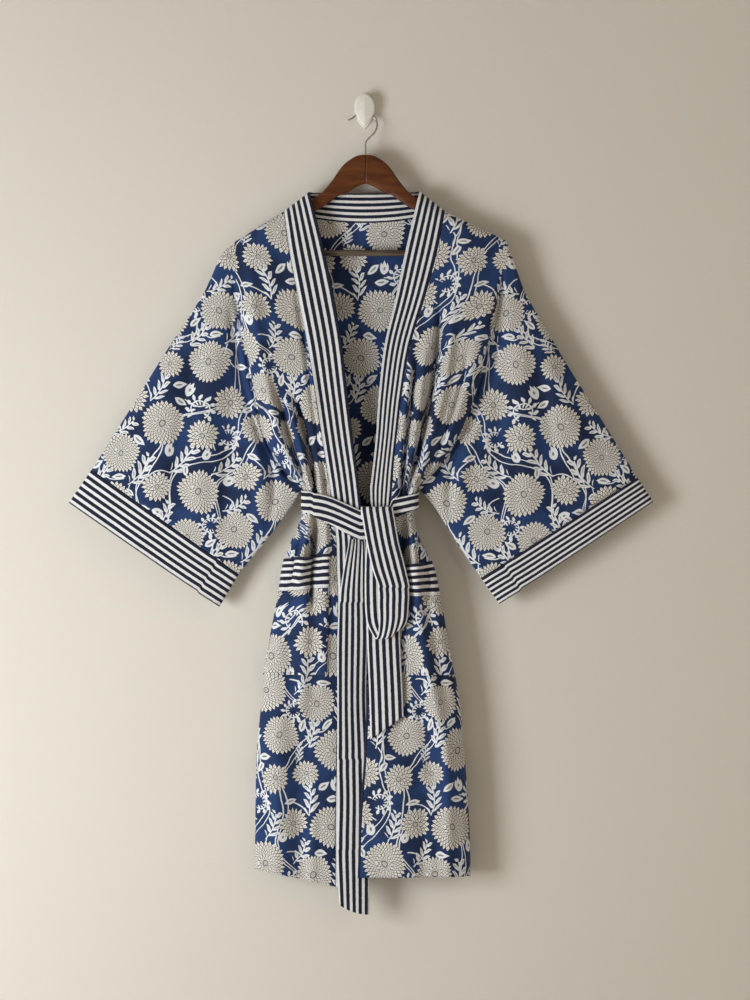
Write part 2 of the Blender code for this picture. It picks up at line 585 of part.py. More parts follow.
for item in list(bpy.data.objects):
    bpy.data.objects.remove(item, do_unlink=True)
robe = bpy.data.collections.new("kimono_robe_on_hanger")
cutters = bpy.data.collections.new("cutters")
bpy.context.scene.collection.children.link(robe)
bpy.context.scene.collection.children.link(cutters)

printed = makeMaterial("printed_cotton", (0.035, 0.075, 0.30), 0.85)
stripe = makeMaterial("striped_cotton", (0.30, 0.31, 0.38), 0.85)
wood = makeMaterial("dark_wood", (0.13, 0.035, 0.018), 0.35)
steel = makeMaterial("bright_steel", (0.62, 0.61, 0.60), 0.25, 1.0)
plastic = makeMaterial("white_plastic", (0.80, 0.79, 0.76), 0.30)

# Rows shared by the front panels, the back panel, the bands and the sleeves
armSteps = 13
armRowsShared = [armholeRow * (1 - math.cos(math.pi * k / armSteps)) / 2 for k in range(armSteps + 1)]
waistRow = 7.9
pocketTop = 9.75
pocketSeam = 10.7
pocketEnd = 12.5
sharedRows = [0.0, 0.004] + armRowsShared[1:]
sharedRows += [7.4, waistRow, 8.5, 9.1, pocketTop, 10.2, pocketSeam, 11.3, 11.9, pocketEnd, 13.4, 14.3, 15.2, 16.0]
frontColumns = [0.0, 0.0012, 0.02, 0.06, 0.11, 0.18, 0.26, 0.35, 0.45, 0.56, 0.68, 0.80, 0.90, 1.0]

# Each panel is one cut of cloth. It is parted under the belt, where nothing shows, so that each part is simple
upperRows = [t for t in sharedRows if t <= waistRow]
lowerRows = [waistRow + 0.010] + [t for t in sharedRows if t > waistRow]

# Front panels and their bands
for side, word in ((-1, "right"), (1, "left")):
    def front(u, t, side=side):
        return frontPoint(side, nearEdge(u, t), t)

    def band(c, t, side=side):
        return bandPoint(side, c, t)

    addSheet("front_panel_" + word, front, frontColumns, upperRows, clothThick, printed)
    addSheet("front_skirt_" + word, front, frontColumns, lowerRows, clothThick, printed)
    bandColumns = spaced(4) if side < 0 else [0.0, 0.05, 0.11, 0.18, 0.3, 0.6, 1.0]
    addSheet("neck_band_" + word, band, bandColumns, sharedRows, bandThick, stripe)

# Back panel and the band round the back of the neck
def back(a, t):
    near = min(a, 1 - a)
    if 0.0 < near < 0.0015 and t < armholeRow - 0.001:
        a = 0.0048 if a < 0.5 else 0.9952
    return backPoint(a, t)


neckLeft = (neckHalf + 0.0006 + 0.223) / 0.470
neckRight = (0.223 - neckHalf - 0.0006) / 0.470
backColumns = [neckRight * f for f in (0.0, 0.003, 0.05, 0.14, 0.3, 0.52, 0.76)]
backColumns += [neckRight + (neckLeft - neckRight) * f
                for f in (0.0, 0.012, 0.04, 0.12, 0.24, 0.36, 0.50, 0.64, 0.76, 0.88, 0.96, 0.988)]
backColumns += [neckLeft + (1 - neckLeft) * f for f in (0.0, 0.24, 0.48, 0.7, 0.86, 0.95, 0.997, 1.0)]
addSheet("back_panel", back, backColumns, upperRows, clothThick, printed)
addSheet("back_skirt", back, backColumns, lowerRows, clothThick, printed)
neckColumns = [0.0, 0.0006, 0.012, 0.04, 0.12, 0.24, 0.36, 0.50, 0.64, 0.76, 0.88, 0.96, 0.988, 0.9994, 1.0]
addSheet("neck_band_back", neckBackPoint, neckColumns, spaced(4), bandThick, stripe)

# Sleeves and cuffs
ringColumns = [k / (2 * armSteps) for k in range(2 * armSteps + 1)]
sleeveSteps = [0.0, 0.03, 0.10, 0.19, 0.29, 0.40, 0.52, 0.65, 0.78, 0.90, 1.0]
for side, word in ((-1, "right"), (1, "left")):
    def sleeve(r, v, side=side):
        return sleevePoint(side, 0.0 if r == 1.0 else r, v)

    def cuff(r, v, side=side):
        return cuffPoint(side, 0.0 if r == 1.0 else r, v)

    addSheet("sleeve_" + word, sleeve, ringColumns, sleeveSteps, clothThick, printed, closed=True)
    addSheet("cuff_" + word, cuff, ringColumns, [0.0, 0.5, 1.0], bandThick, stripe, closed=True)

# Pockets and their bands, laid on the front panels
pocketRows = [("right", -1, 0.02, 0.80), ("left", 1, 0.02, 0.56)]
for word, side, u0, u1 in pocketRows:
    def pocket(u, t, side=side):
        return pocketPoint(side, u, t, pocketSeam + 0.006, pocketEnd, 0.0024, 0.0)

    def mouth(u, t, side=side, u0=u0, u1=u1):
        gape = pocketGape * math.sin(math.pi * (u - u0) / (u1 - u0))
        return pocketPoint(side, u, t, pocketTop, pocketSeam, 0.0026, gape)

    across = sharedSteps(frontColumns, u0, u1)
    down = sharedSteps(sharedRows, pocketSeam, pocketEnd)
    down = [(t - pocketSeam) / (pocketEnd - pocketSeam) for t in down]
    drop = sharedSteps(sharedRows, pocketTop, pocketSeam)
    drop = [(t - pocketTop) / (pocketSeam - pocketTop) for t in drop]
    addSheet("pocket_" + word, pocket, across, down, clothThick, printed)
    addSheet("pocket_band_" + word, mouth, across, drop, bandThick, stripe)

# Belt: round the waist, the strap of the knot, one loop and two tails
def wrapPoint(c, s):
    return beltPoint(c, 0.004 + 0.916 * s)


def longTail(c, f):
    return stripPoint(longTailRows, c, f, 0.0010)


def shortTail(c, f):
    point = stripPoint(shortTailRows, c, f, 0.0008)
    point.z += 0.040 * c * smooth((f - 0.6) / 0.4)
    return point


def loopPoint(c, f):
    # Front strand down, then the bottom turn and the back strand up
    if f < 0.5601:
        return stripPoint(loopFrontRows, c, f / 0.56 * 0.94, 0.0022)
    if f > 0.5999:
        return stripPoint(loopBackRows, c, 0.10 + (f - 0.60) / 0.40 * 0.90, -0.0004)
    a = stripPoint(loopFrontRows, c, 0.94, 0.0022)
    b = stripPoint(loopBackRows, c, 0.10, -0.0004)
    low = (a + b) / 2
    low.z -= 0.0030
    return low


def knotPoint(c, f):
    # The strap over the knot, from the wrap on the right to the wrap on the left
    t = f * (len(knotRows) - 1)
    low = atRow(knotRows, 1, t)
    high = atRow(knotRows, 2, t)
    x = atRow(knotRows, 3, t)
    y = atRow(knotRows, 4, t)
    return Vector((x, y - 0.003 * math.sin(math.pi * c), low + (high - low) * c))


addSheet("belt_wrap", wrapPoint, spaced(3), spaced(44), beltThick, stripe)
addSheet("belt_knot", knotPoint, spaced(6), spaced(10), beltThick, stripe)
loopSteps = [0.0, 0.09, 0.19, 0.29, 0.39, 0.48, 0.56, 0.58, 0.60, 0.68, 0.78, 0.89, 1.0]
addSheet("belt_loop", loopPoint, spaced(6), loopSteps, beltThick, stripe)
addSheet("belt_tail_long", longTail, spaced(4), spaced(18), beltThick, stripe)
addSheet("belt_tail_short", shortTail, spaced(5), spaced(12), beltThick, stripe)

# Hanger arms: rounded sections along each arm, mirrored by the sign of X
for side, word in ((-1, "right"), (1, "left")):
    mesh = bpy.data.meshes.new("hanger_arm_" + word)
    bm = bmesh.new()
    ringSize = 14
    rings = []
    steps = 2 * (len(armRows) - 1)
    for k in range(steps + 1):
        t = (len(armRows) - 1) * k / steps
        x = atRow(armRows, 1, t)
        top = atRow(armRows, 2, t)
        low = atRow(armRows, 3, t)
        halfY = 0.0063 - 0.0006 * t / (len(armRows) - 1)
        ring = []
        for j in range(ringSize):
            angle = 2 * math.pi * j / ringSize
            cy = math.cos(angle)
            cz = math.sin(angle)
            y = -0.0300 + halfY * math.copysign(abs(cy) ** 0.72, cy)
            z = (top + low) / 2 + (top - low) / 2 * math.copysign(abs(cz) ** 0.72, cz)
            ring.append(bm.verts.new((side * x + 0.0018, y, z)))
        rings.append(ring)
    for k in range(steps):
        for j in range(ringSize):
            i = (j + 1) % ringSize
            bm.faces.new((rings[k][j], rings[k][i], rings[k + 1][i], rings[k + 1][j]))
    bm.faces.new(rings[0])
    bm.faces.new(rings[-1])
    bmesh.ops.recalc_face_normals(bm, faces=bm.faces)
    bm.to_mesh(mesh)
    bm.free()
    mesh.shade_smooth()
    mesh.materials.append(wood)
    robe.objects.link(bpy.data.objects.new("hanger_arm_" + word, mesh))

# Trouser bar between the two lobes
bpy.ops.mesh.primitive_cylinder_add(vertices=20, radius=barRadius, depth=0.3676,
                                    location=(0.0018, -0.0300, -0.2505), rotation=(0, math.pi / 2, 0))
bar = bpy.context.active_object
bar.name = "hanger_bar"
for holder in list(bar.users_collection):
    holder.objects.unlink(bar)
robe.objects.link(bar)
bar.data.materials.append(wood)

# Hanger hook: one wire
curve = bpy.data.curves.new("hanger_hook_path", "CURVE")
curve.dimensions = "3D"
curve.bevel_depth = wireRadius
curve.bevel_resolution = 2
curve.use_fill_caps = True
spline = curve.splines.new("POLY")
wireSteps = 30
spline.points.add(wireSteps)
for k in range(wireSteps + 1):
    x, y, z = alongPath(wirePath, k / wireSteps)
    spline.points[k].co = (x, y, z, 1)
wire = bpy.data.objects.new("hanger_hook", curve)
curve.materials.append(steel)
robe.objects.link(wire)

# Wall hook: a back leaf, a front leaf and the cradle between them
backLeaf = addLeaf("wall_hook", -0.0025, 0.0, 0.0, plastic, robe)
frontLeaf = addLeaf("front_leaf", -0.0150, -0.0178, 0.0035, plastic, cutters)
bpy.ops.mesh.primitive_cube_add(size=1, location=(0, -0.0088, -0.0128))
cradle = bpy.context.active_object
cradle.name = "cradle"
cradle.scale = (0.0060, 0.0145, 0.0142)
for holder in list(cradle.users_collection):
    holder.objects.unlink(cradle)
cutters.objects.link(cradle)
for other in (frontLeaf, cradle):
    other.hide_render = True
    other.display_type = "WIRE"
    join = backLeaf.modifiers.new("join_" + other.name, "BOOLEAN")
    join.operation = "UNION"
    join.solver = "EXACT"
    join.object = other
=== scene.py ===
# Looks of the kimono robe: printed and striped cotton, sewing, wooden hanger and leaf shaped wall hook
import json
import math
from functools import partial, reduce

import bmesh
import bpy
from mathutils import Matrix, Vector, noise

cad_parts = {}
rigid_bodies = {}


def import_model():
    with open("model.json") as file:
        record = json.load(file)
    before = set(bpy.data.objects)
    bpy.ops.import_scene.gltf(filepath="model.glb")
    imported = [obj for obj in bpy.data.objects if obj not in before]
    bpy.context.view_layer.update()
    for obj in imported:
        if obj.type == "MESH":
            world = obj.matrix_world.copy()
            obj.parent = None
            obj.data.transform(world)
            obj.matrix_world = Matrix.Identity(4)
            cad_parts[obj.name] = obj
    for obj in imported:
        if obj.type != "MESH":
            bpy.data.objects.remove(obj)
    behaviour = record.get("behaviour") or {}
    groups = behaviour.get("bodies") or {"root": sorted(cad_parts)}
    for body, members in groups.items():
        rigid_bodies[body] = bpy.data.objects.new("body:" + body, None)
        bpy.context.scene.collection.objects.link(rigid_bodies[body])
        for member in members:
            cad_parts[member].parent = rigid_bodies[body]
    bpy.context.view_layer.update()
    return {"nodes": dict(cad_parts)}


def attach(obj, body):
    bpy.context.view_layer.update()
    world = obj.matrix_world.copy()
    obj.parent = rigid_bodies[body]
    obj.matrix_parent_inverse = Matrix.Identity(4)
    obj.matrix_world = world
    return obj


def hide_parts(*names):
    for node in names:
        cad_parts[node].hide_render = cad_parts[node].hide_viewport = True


for item in list(bpy.data.objects):
    bpy.data.objects.remove(item, do_unlink=True)
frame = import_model()
scene = bpy.context.scene
print("frame loaded:", len(frame["nodes"]), "nodes")

# How the photograph was taken: one pixel is 1.745 mm where the robe's front hangs
view = {
    "eye": (0.0183, -7.04, -0.682),
    "frontDistance": 7.0,
    "frameHeight": 1.745,
    "sensorHeight": 24.0,
}


def inMetres(rows, units):
    # Rows of a name and numbers, each number divided by the units of its column that make a metre
    return [(row[0],) + tuple(value / unit for value, unit in zip(row[1:], units)) for row in rows]


# The wearer's right is on the viewer's left
sides = ((-1, "right"), (1, "left"))

# The cut of the robe, row by row from shoulder to hem, and the depths it hangs at
robeCut = {
    "seamGap": 0.0004,
    "armholeRow": 7.0,
    "neckHalf": 0.140,
    # how far the shoulders' ends lie right and left of the middle, and how much higher the neck is
    "shoulder": {-1: 0.223, 1: 0.247},
    "shoulderSpan": 0.470,
    "shoulderRise": 0.051,
    "shoulderHeight": -0.229,
    # the neckline's dip at the back, half width and height of the neck band's top edge, its depth and bulge
    "neckDip": 0.019,
    "neckTop": (0.096, -0.1440),
    "neckDepth": (-0.0300, 0.0120, 0.0035),
    # row at which front and back begin to meet at the side, and over how many rows
    "sideCloses": (6.40, 0.60),
    # height and reach of the belt, and how much of the creases it presses flat
    "beltPress": (-0.706, 0.038, 0.80),
    # heights of the wide, the fine and the sharp unevenness left by folding and ironing
    "crumple": (0.0013, 0.0006, 0.0007),
    # the folded edge of the left band, how near the back comes to the wall
    "bandFold": 0.0033,
    "backLimit": -0.0045,
    # half depth of the sleeves at the cuff seam and the middle of that depth
    "sleeveDepth": (0.0150, -0.0310),
    # height and reach of the step beside the armhole
    "armStep": {"body": (0.0085, 0.009), "sleeve": (0.0120, 0.009)},
    # outer corner and band seam, how far each front's hem hangs above the common line
    "hemLift": {"right": (0.015, 0.0), "left": (0.003, 0.017)},
    "bandWidth": 0.055,
    # name, outer height, right outer X, left outer X, height at the band seam, right seam X, left seam X
    "outline": inMetres([
        ("shoulder", -2290, -2230, 2470, -1780, -1400, 1400),
        ("upperChest", -2810, -2250, 2400, -2460, -1310, 1270),
        ("chest", -3510, -2170, 2280, -3260, -1160, 1060),
        ("bust", -4290, -2030, 2100, -4120, -990, 800),
        ("ribs", -5080, -1880, 1890, -4990, -850, 650),
        ("lowRibs", -5780, -1700, 1600, -5720, -740, 560),
        ("aboveWaist", -6300, -1390, 1250, -6280, -650, 500),
        ("underarm", -6600, -1080, 930, -6600, -600, 480),
        ("waist", -7080, -1095, 860, -7080, -540, 440),
        ("belowBelt", -7520, -1270, 970, -7520, -490, 410),
        ("pocketMouth", -7960, -1400, 1190, -7960, -480, 360),
        ("hip", -8570, -1490, 1330, -8570, -460, 270),
        ("lowHip", -9440, -1650, 1490, -9440, -460, 130),
        ("thigh", -10310, -1790, 1650, -10310, -460, 80),
        ("knee", -11360, -1880, 1750, -11360, -480, 30),
        ("calf", -12410, -1900, 1820, -12410, -500, -40),
        ("hem", -13400, -1910, 1850, -13560, -500, -80),
    ], (10000,) * 6),
    # name, middle Y, right front, left front, back, armhole
    "depths": inMetres([
        ("shoulder", -300, 130, 130, 120, 110),
        ("upperChest", -310, 180, 180, 150, 125),
        ("chest", -330, 210, 210, 180, 135),
        ("bust", -340, 230, 230, 200, 135),
        ("ribs", -350, 240, 240, 215, 130),
        ("lowRibs", -360, 245, 245, 230, 115),
        ("aboveWaist", -365, 235, 235, 240, 90),
        ("underarm", -365, 225, 225, 245, 80),
        ("waist", -360, 215, 215, 250, 2),
        ("belowBelt", -360, 230, 240, 240, 2),
        ("pocketMouth", -370, 240, 270, 240, 2),
        ("hip", -370, 190, 280, 240, 2),
        ("lowHip", -370, 150, 285, 240, 2),
        ("thigh", -370, 135, 290, 240, 2),
        ("knee", -370, 130, 290, 240, 2),
        ("calf", -370, 130, 290, 240, 2),
        ("hem", -370, 130, 290, 240, 2),
    ], (10000,) * 5),
    # name, right free X, right free Z, left free X, left free Z, how far the left one is turned under
    "bands": inMetres([
        ("shoulder", -960, -1440, 960, -1430, 0),
        ("upperChest", -730, -2350, 730, -2400, 0),
        ("chest", -550, -3190, 550, -3260, 0),
        ("bust", -400, -4050, 350, -4120, 0),
        ("ribs", -300, -4940, 250, -4990, 0),
        ("lowRibs", -210, -5690, 200, -5720, 0),
        ("aboveWaist", -130, -6270, 140, -6280, 0),
        ("underarm", -90, -6600, 100, -6600, 0),
        ("waist", -40, -7080, 40, -7080, 0.15),
        ("belowBelt", 0, -7520, -40, -7520, 0.5),
        ("pocketMouth", 20, -7960, -120, -7960, 0.9),
        ("hip", 40, -8570, -210, -8570, 1),
        ("lowHip", 40, -9440, -350, -9440, 1),
        ("thigh", 40, -10310, -420, -10310, 1),
        ("knee", 0, -11360, -450, -11360, 1),
        ("calf", 0, -12410, -520, -12410, 1),
        ("hem", 0, -13520, -560, -13560, 1),
    ], (10000,) * 4 + (1,)),
}

# Creases: a line through three points in millimetres, width and height in tenths of one (out +, in -),
# and the strength at its top and bottom
# name, x0, z0, x1, z1, x2, z2, width, height, top, bottom
creaseUnits = (1000,) * 6 + (10000, 10000, 1, 1)
frontCreases = inMetres([
    ("rightArmholeRidge", -205, -280, -182, -450, -130, -640, 140, 90, 0, 0.8),
    ("rightUpperSwell", -180, -240, -165, -350, -150, -460, 300, 50, 0.2, 0.3),
    ("leftBodyFold", 222, -300, 190, -450, 130, -610, 140, 90, 0, 0.6),
    ("leftShoulderSwell", 185, -240, 172, -330, 155, -430, 280, 50, 0.2, 0.3),
    ("rightSkirtRidge", -105, -740, -107, -900, -112, -1100, 140, 60, 1, 0.1),
    ("rightInnerRidge", -68, -740, -70, -850, -78, -1050, 120, 40, 1, 0),
    ("rightLowSwell", -150, -980, -155, -1150, -155, -1340, 260, 60, 0, 1),
    ("rightLowValley", -112, -1060, -112, -1200, -110, -1340, 160, -40, 0, 1),
    ("leftSkirtValley", 55, -735, 55, -900, 60, -1120, 140, -60, 1, 0.1),
    ("leftSkirtRidge", 77, -770, 108, -960, 145, -1120, 140, 70, 0.6, 0.8),
    ("leftSideValley", 100, -780, 125, -940, 158, -1060, 120, -50, 0.6, 0.3),
    ("leftLowRidge", 145, -1120, 148, -1230, 146, -1356, 130, 70, 0.8, 1),
    ("leftLowSwell", 50, -1100, 60, -1220, 65, -1356, 300, 60, 0, 1),
    # gathered above the belt
    ("rightSeamValley", -121, -310, -96, -470, -68, -668, 48, -75, 0.3, 1),
    ("rightSeamRidge", -104, -400, -90, -490, -74, -668, 60, 55, 0, 1),
    ("rightDeepValley", -124, -490, -99, -590, -86, -668, 48, -140, 0, 1),
    ("rightMiddleRidge", -142, -480, -111, -590, -94, -668, 60, 65, 0, 1),
    ("rightOuterValley", -160, -470, -128, -585, -101, -660, 50, -100, 0, 1),
    ("leftLongValley", 131, -320, 112, -515, 74, -668, 52, -170, 0, 1),
    ("leftSeamValley", 92, -420, 79, -530, 64, -668, 42, -110, 0, 1),
    ("leftMiddleRidge", 110, -380, 95, -515, 70, -668, 70, 60, 0, 0.8),
    ("leftSeamRidge", 84, -400, 70, -530, 56, -668, 50, 40, 0, 0.8),
    ("leftOuterRidge", 152, -330, 131, -520, 86, -655, 85, 75, 0, 0.8),
    ("leftOuterValley", 182, -410, 150, -545, 100, -650, 55, -90, 0, 0.9),
    # gathered below the belt
    ("rightTuckValley", -107, -720, -116, -770, -130, -840, 45, -45, 1, 0),
    ("rightTuckRidge", -96, -720, -104, -765, -119, -840, 60, 80, 1, 0),
    ("rightSkirtValley", -85, -716, -90, -768, -92, -880, 54, -210, 1, 0),
    ("rightInnerTuck", -66, -720, -62, -770, -62, -860, 65, 75, 1, 0),
    ("leftTuckValley", 98, -720, 107, -790, 118, -860, 45, -70, 1, 0),
    ("leftTuckRidge", 83, -716, 88, -780, 97, -870, 60, 80, 1, 0),
    ("leftLoopValley", 66, -712, 67, -780, 70, -900, 85, -170, 1, 0),
    # finer ones, which only the looks have
    ("rightTuck4", -61, -730, -61, -800, -63, -880, 50, -59, 1, 0),
    ("rightShoulderLine", -196, -250, -182, -300, -160, -380, 100, -20, 0.3, 0),
    ("rightHipLine", -140, -900, -128, -960, -112, -1040, 90, -22, 0, 0),
    ("rightHemLine", -88, -1130, -90, -1230, -92, -1340, 80, 22, 0, 1),
    ("rightHemTuck", -172, -1180, -172, -1260, -174, -1340, 70, -20, 0, 1),
    ("leftThighLine", 90, -1000, 105, -1080, 118, -1200, 90, -26, 0, 0),
    ("leftHemLine", 104, -1180, 104, -1260, 102, -1356, 90, -24, 0, 1),
    ("leftInnerLine", 30, -960, 30, -1100, 26, -1300, 100, 20, 0, 0.3),
], creaseUnits)

# The same for the back, where out is towards the wall
backCreases = inMetres([
    ("rightFan", -170, -330, -120, -500, -70, -670, 180, 30, 0, 1),
    ("middleFan", -10, -300, -8, -480, -6, -670, 200, -40, 0, 1),
    ("leftFan", 160, -330, 110, -500, 55, -670, 180, 30, 0, 1),
    ("rightWaistValley", -100, -440, -70, -560, -40, -670, 140, -50, 0, 1),
    ("leftWaistValley", 100, -440, 65, -560, 28, -670, 140, -50, 0, 1),
    ("rightSkirtFold", -55, -760, -80, -950, -110, -1330, 200, -60, 1, 0.7),
    ("middleSkirtFold", -10, -760, -4, -980, 4, -1330, 200, -60, 1, 0.8),
    ("leftSkirtFold", 40, -760, 70, -950, 105, -1330, 200, -60, 1, 0.7),
    ("rightSideFold", -85, -770, -125, -950, -155, -1330, 140, -40, 1, 0.4),
    ("leftSideFold", 75, -770, 112, -950, 148, -1330, 140, -40, 1, 0.4),
    ("rightPleat1", -128, -480, -92, -590, -62, -680, 60, -30, 0, 1),
    ("rightPleat2", -60, -430, -40, -560, -26, -680, 60, 26, 0, 1),
    ("leftPleat1", 120, -480, 85, -590, 50, -680, 60, -30, 0, 1),
    ("leftPleat2", 50, -450, 30, -560, 14, -680, 60, 26, 0, 1),
    ("rightTuck1", -70, -735, -82, -820, -92, -920, 60, 28, 1, 0),
    ("rightTuck2", -30, -735, -34, -810, -38, -900, 60, 28, 1, 0),
    ("leftTuck1", 56, -735, 66, -820, 76, -920, 60, 28, 1, 0),
    ("leftTuck2", 16, -735, 20, -800, 24, -890, 60, 28, 1, 0),
    ("hemLineRight", -60, -1080, -62, -1200, -66, -1340, 100, 24, 0, 1),
    ("hemLineLeft", 55, -1120, 56, -1220, 60, -1340, 100, 24, 0, 1),
], creaseUnits)

# The same for both sleeves, front side; the back side takes part of each
sleeveCreases = inMetres([
    ("rightDropRidge", -250, -300, -270, -480, -290, -700, 220, 60, 0, 0.6),
    ("rightInnerValley", -222, -380, -228, -520, -240, -700, 180, -40, 0, 0.6),
    ("rightOuterRidge", -320, -420, -360, -520, -410, -640, 200, 40, 0, 0.7),
    ("rightUnderarmRidge", -200, -560, -180, -640, -190, -720, 140, 50, 0.4, 0.3),
    ("rightArmholeLine", -232, -420, -212, -520, -190, -600, 80, -26, 0, 0.3),
    ("rightDropLine", -290, -420, -318, -540, -345, -690, 100, -22, 0, 0.5),
    ("rightElbowLine", -262, -560, -256, -640, -262, -760, 80, 24, 0, 0.6),
    ("rightCuffTuck", -372, -590, -398, -650, -424, -690, 90, -18, 0, 0.6),
    ("rightArmValley", -236, -320, -208, -490, -158, -640, 85, -75, 0, 0.6),
    ("rightLongSwell", -300, -330, -340, -520, -372, -740, 240, 40, 0.2, 0.7),
    ("rightUnderarmLine", -168, -620, -160, -680, -170, -730, 60, -26, 0.5, 0.2),
    ("leftDropRidge", 262, -330, 275, -480, 285, -700, 220, 60, 0, 0.6),
    ("leftInnerValley", 235, -380, 232, -520, 240, -700, 180, -40, 0, 0.6),
    ("leftOuterRidge", 320, -430, 360, -540, 400, -650, 200, 40, 0, 0.7),
    ("leftUnderarmRidge", 190, -540, 170, -620, 165, -710, 140, 50, 0.4, 0.3),
    ("leftArmholeLine", 236, -430, 214, -520, 192, -600, 80, -26, 0, 0.3),
    ("leftDropLine", 300, -430, 325, -560, 348, -690, 100, -22, 0, 0.5),
    ("leftElbowLine", 256, -560, 250, -650, 256, -760, 80, 24, 0, 0.6),
    ("leftCuffTuck", 372, -590, 392, -640, 416, -690, 90, -18, 0, 0.6),
    ("leftArmValley", 248, -320, 212, -480, 150, -640, 85, -80, 0, 0.6),
    ("leftLongSwell", 300, -340, 335, -520, 360, -740, 240, 40, 0.2, 0.7),
    ("leftUnderarmLine", 156, -610, 148, -670, 150, -730, 60, -26, 0.5, 0.2),
], creaseUnits)

# Sleeve edges in the plane of the wall, shoulder or underarm to cuff seam, then the cuff's end
sleeveCut = {
    "rightTop": [(-0.223, -0.229), (-0.249, -0.254), (-0.268, -0.295), (-0.287, -0.332),
                 (-0.350, -0.429), (-0.410, -0.525), (-0.476, -0.629)],
    "rightLow": [(-0.1135, -0.658), (-0.130, -0.690), (-0.164, -0.739), (-0.220, -0.811)],
    "rightEnd": [(-0.516, -0.687), (-0.254, -0.868)],
    "leftTop": [(0.247, -0.229), (0.264, -0.277), (0.282, -0.324), (0.311, -0.373),
                (0.351, -0.442), (0.395, -0.512), (0.476, -0.643)],
    "leftLow": [(0.098, -0.660), (0.124, -0.692), (0.161, -0.753), (0.204, -0.818)],
    "leftEnd": [(0.504, -0.685), (0.236, -0.863)],
    "cuffWidth": 0.068,
    "cuffCrease": 0.86,
}


def cubic(p0, p1, p2, p3, f):
    return 0.5 * (2 * p1 + (p2 - p0) * f + (2 * p0 - 5 * p1 + 4 * p2 - p3) * f * f
                  + (3 * p1 - p0 - 3 * p2 + p3) * f ** 3)


def atRow(rows, column, t):
    t = max(0.0, min(len(rows) - 1.0, t))
    i = min(int(t), len(rows) - 2)
    p1 = rows[i][column]
    p2 = rows[i + 1][column]
    p0 = rows[i - 1][column] if i > 0 else 2 * p1 - p2
    p3 = rows[i + 2][column] if i + 2 < len(rows) else 2 * p2 - p1
    return cubic(p0, p1, p2, p3, t - i)


def alongPath(path, f):
    rows = [(0,) + tuple(p) for p in path]
    t = f * (len(path) - 1)
    return [atRow(rows, c + 1, t) for c in range(len(path[0]))]


def smooth(f):
    f = max(0.0, min(1.0, f))
    return f * f * (3 - 2 * f)


def roll(f, power=2.4):
    f = max(0.0, min(1.0, f))
    return (1 - (1 - f) ** power) ** (1 / power)


def spaced(n):
    return [i / n for i in range(n + 1)]


def creaseHeight(creases, x, z):
    total = 0.0
    for name, x0, z0, x1, z1, x2, z2, width, height, top, bottom in creases:
        if z > z0 + 0.05 or z < z2 - 0.05 or abs(x - x1) > 0.25:
            continue
        f = (z0 - z) / (z0 - z2)
        g = max(0.0, min(1.0, f))
        h = (z0 - z1) / (z0 - z2)
        middle = x0 + (x2 - x0) * g + (x1 - x0 - (x2 - x0) * h) * g * (1 - g) / (h * (1 - h))
        away = (x - middle) / width
        if abs(away) > 3:
            continue
        ends = (1 - smooth(1 - g * 3.5)) * (1 - top) + top
        ends *= (1 - smooth(1 - (1 - g) * 3.5)) * (1 - bottom) + bottom
        over = max(0.0, -f, f - 1) * abs(z0 - z2)
        total += height * ends * math.exp(-away ** 2) * math.exp(-(over / 0.03) ** 2)
    return total


foldScale = {"front": 1.45, "back": 1.20, "sleeve": 1.50}


def jog(height, away, decay):
    # What lies across an ironed crease is set off to either side of it
    return height * math.exp(-abs(away) * decay) * (1 if away > 0 else -1) * (1 - math.exp(-away * away * 4))


def crumple(x, z, seed):
    # Soft unevenness of thin cotton that was folded and ironed
    wide = noise.noise(Vector((x * 16, z * 10, seed)))
    fine = noise.noise(Vector((x * 46, z * 34, seed + 7)))
    sharp = 1 - abs(noise.noise(Vector((x * 26 + z * 5, z * 17, seed + 13)))) * 2.2
    wideHigh, fineHigh, sharpHigh = robeCut["crumple"]
    return wideHigh * wide + fineHigh * fine + sharpHigh * max(0.0, sharp) ** 3


def beltPress(z):
    height, reach, share = robeCut["beltPress"]
    return 1.0 - share * math.exp(-((z - height) / reach) ** 2)


def lensClose(t):
    return roll((robeCut["armholeRow"] - t) / 0.8, 2.0)


def topRoll(t):
    return roll(t / 0.25, 2.0)


def closing(t, loose, shut):
    # From the underarm down the front and the back meet at the side
    first, rows = robeCut["sideCloses"]
    mix = smooth((t - first) / rows)
    return loose * (1 - mix) + shut * mix


def outlineAt(column, t):
    return atRow(robeCut["outline"], column, t)


def depthAt(column, t):
    return atRow(robeCut["depths"], column, t)


def rowDepth(side, t, u):
    # Half depth of the front at a share u of the way from the outer edge to the band seam
    full = depthAt(2 if side < 0 else 3, t)
    arm = depthAt(5, t) * lensClose(t)
    # Below the pockets the cloth rounds off all the way to the side seam
    rounded = 0.65 * smooth((t - 9.3) / 2.2)
    loose = arm + (full - arm) * ((1 - rounded) * smooth(u / 0.35) + rounded * math.sin(math.pi / 2 * max(0.0, u)))
    shut = arm + (full - arm) * roll(u / 0.22)
    return closing(t, loose, shut) * topRoll(t)


def armStep(t, away, kind):
    # The front hangs a little over the sleeve: a ridge on the one side of the armhole, a dip on the other
    high, reach = robeCut["armStep"][kind]
    share = away / reach
    ends = smooth((t - 0.8) / 1.2) * (1 - smooth((t - 6.3) / 0.6))
    return high * share * math.exp(1 - share) * ends if share < 8 else 0.0


def hemLift(side, u, t):
    # The fronts' hems don't hang quite level
    outer, inner = robeCut["hemLift"]["right" if side < 0 else "left"]
    return (outer + (inner - outer) * u) * smooth((t - 13.5) / 2.5)


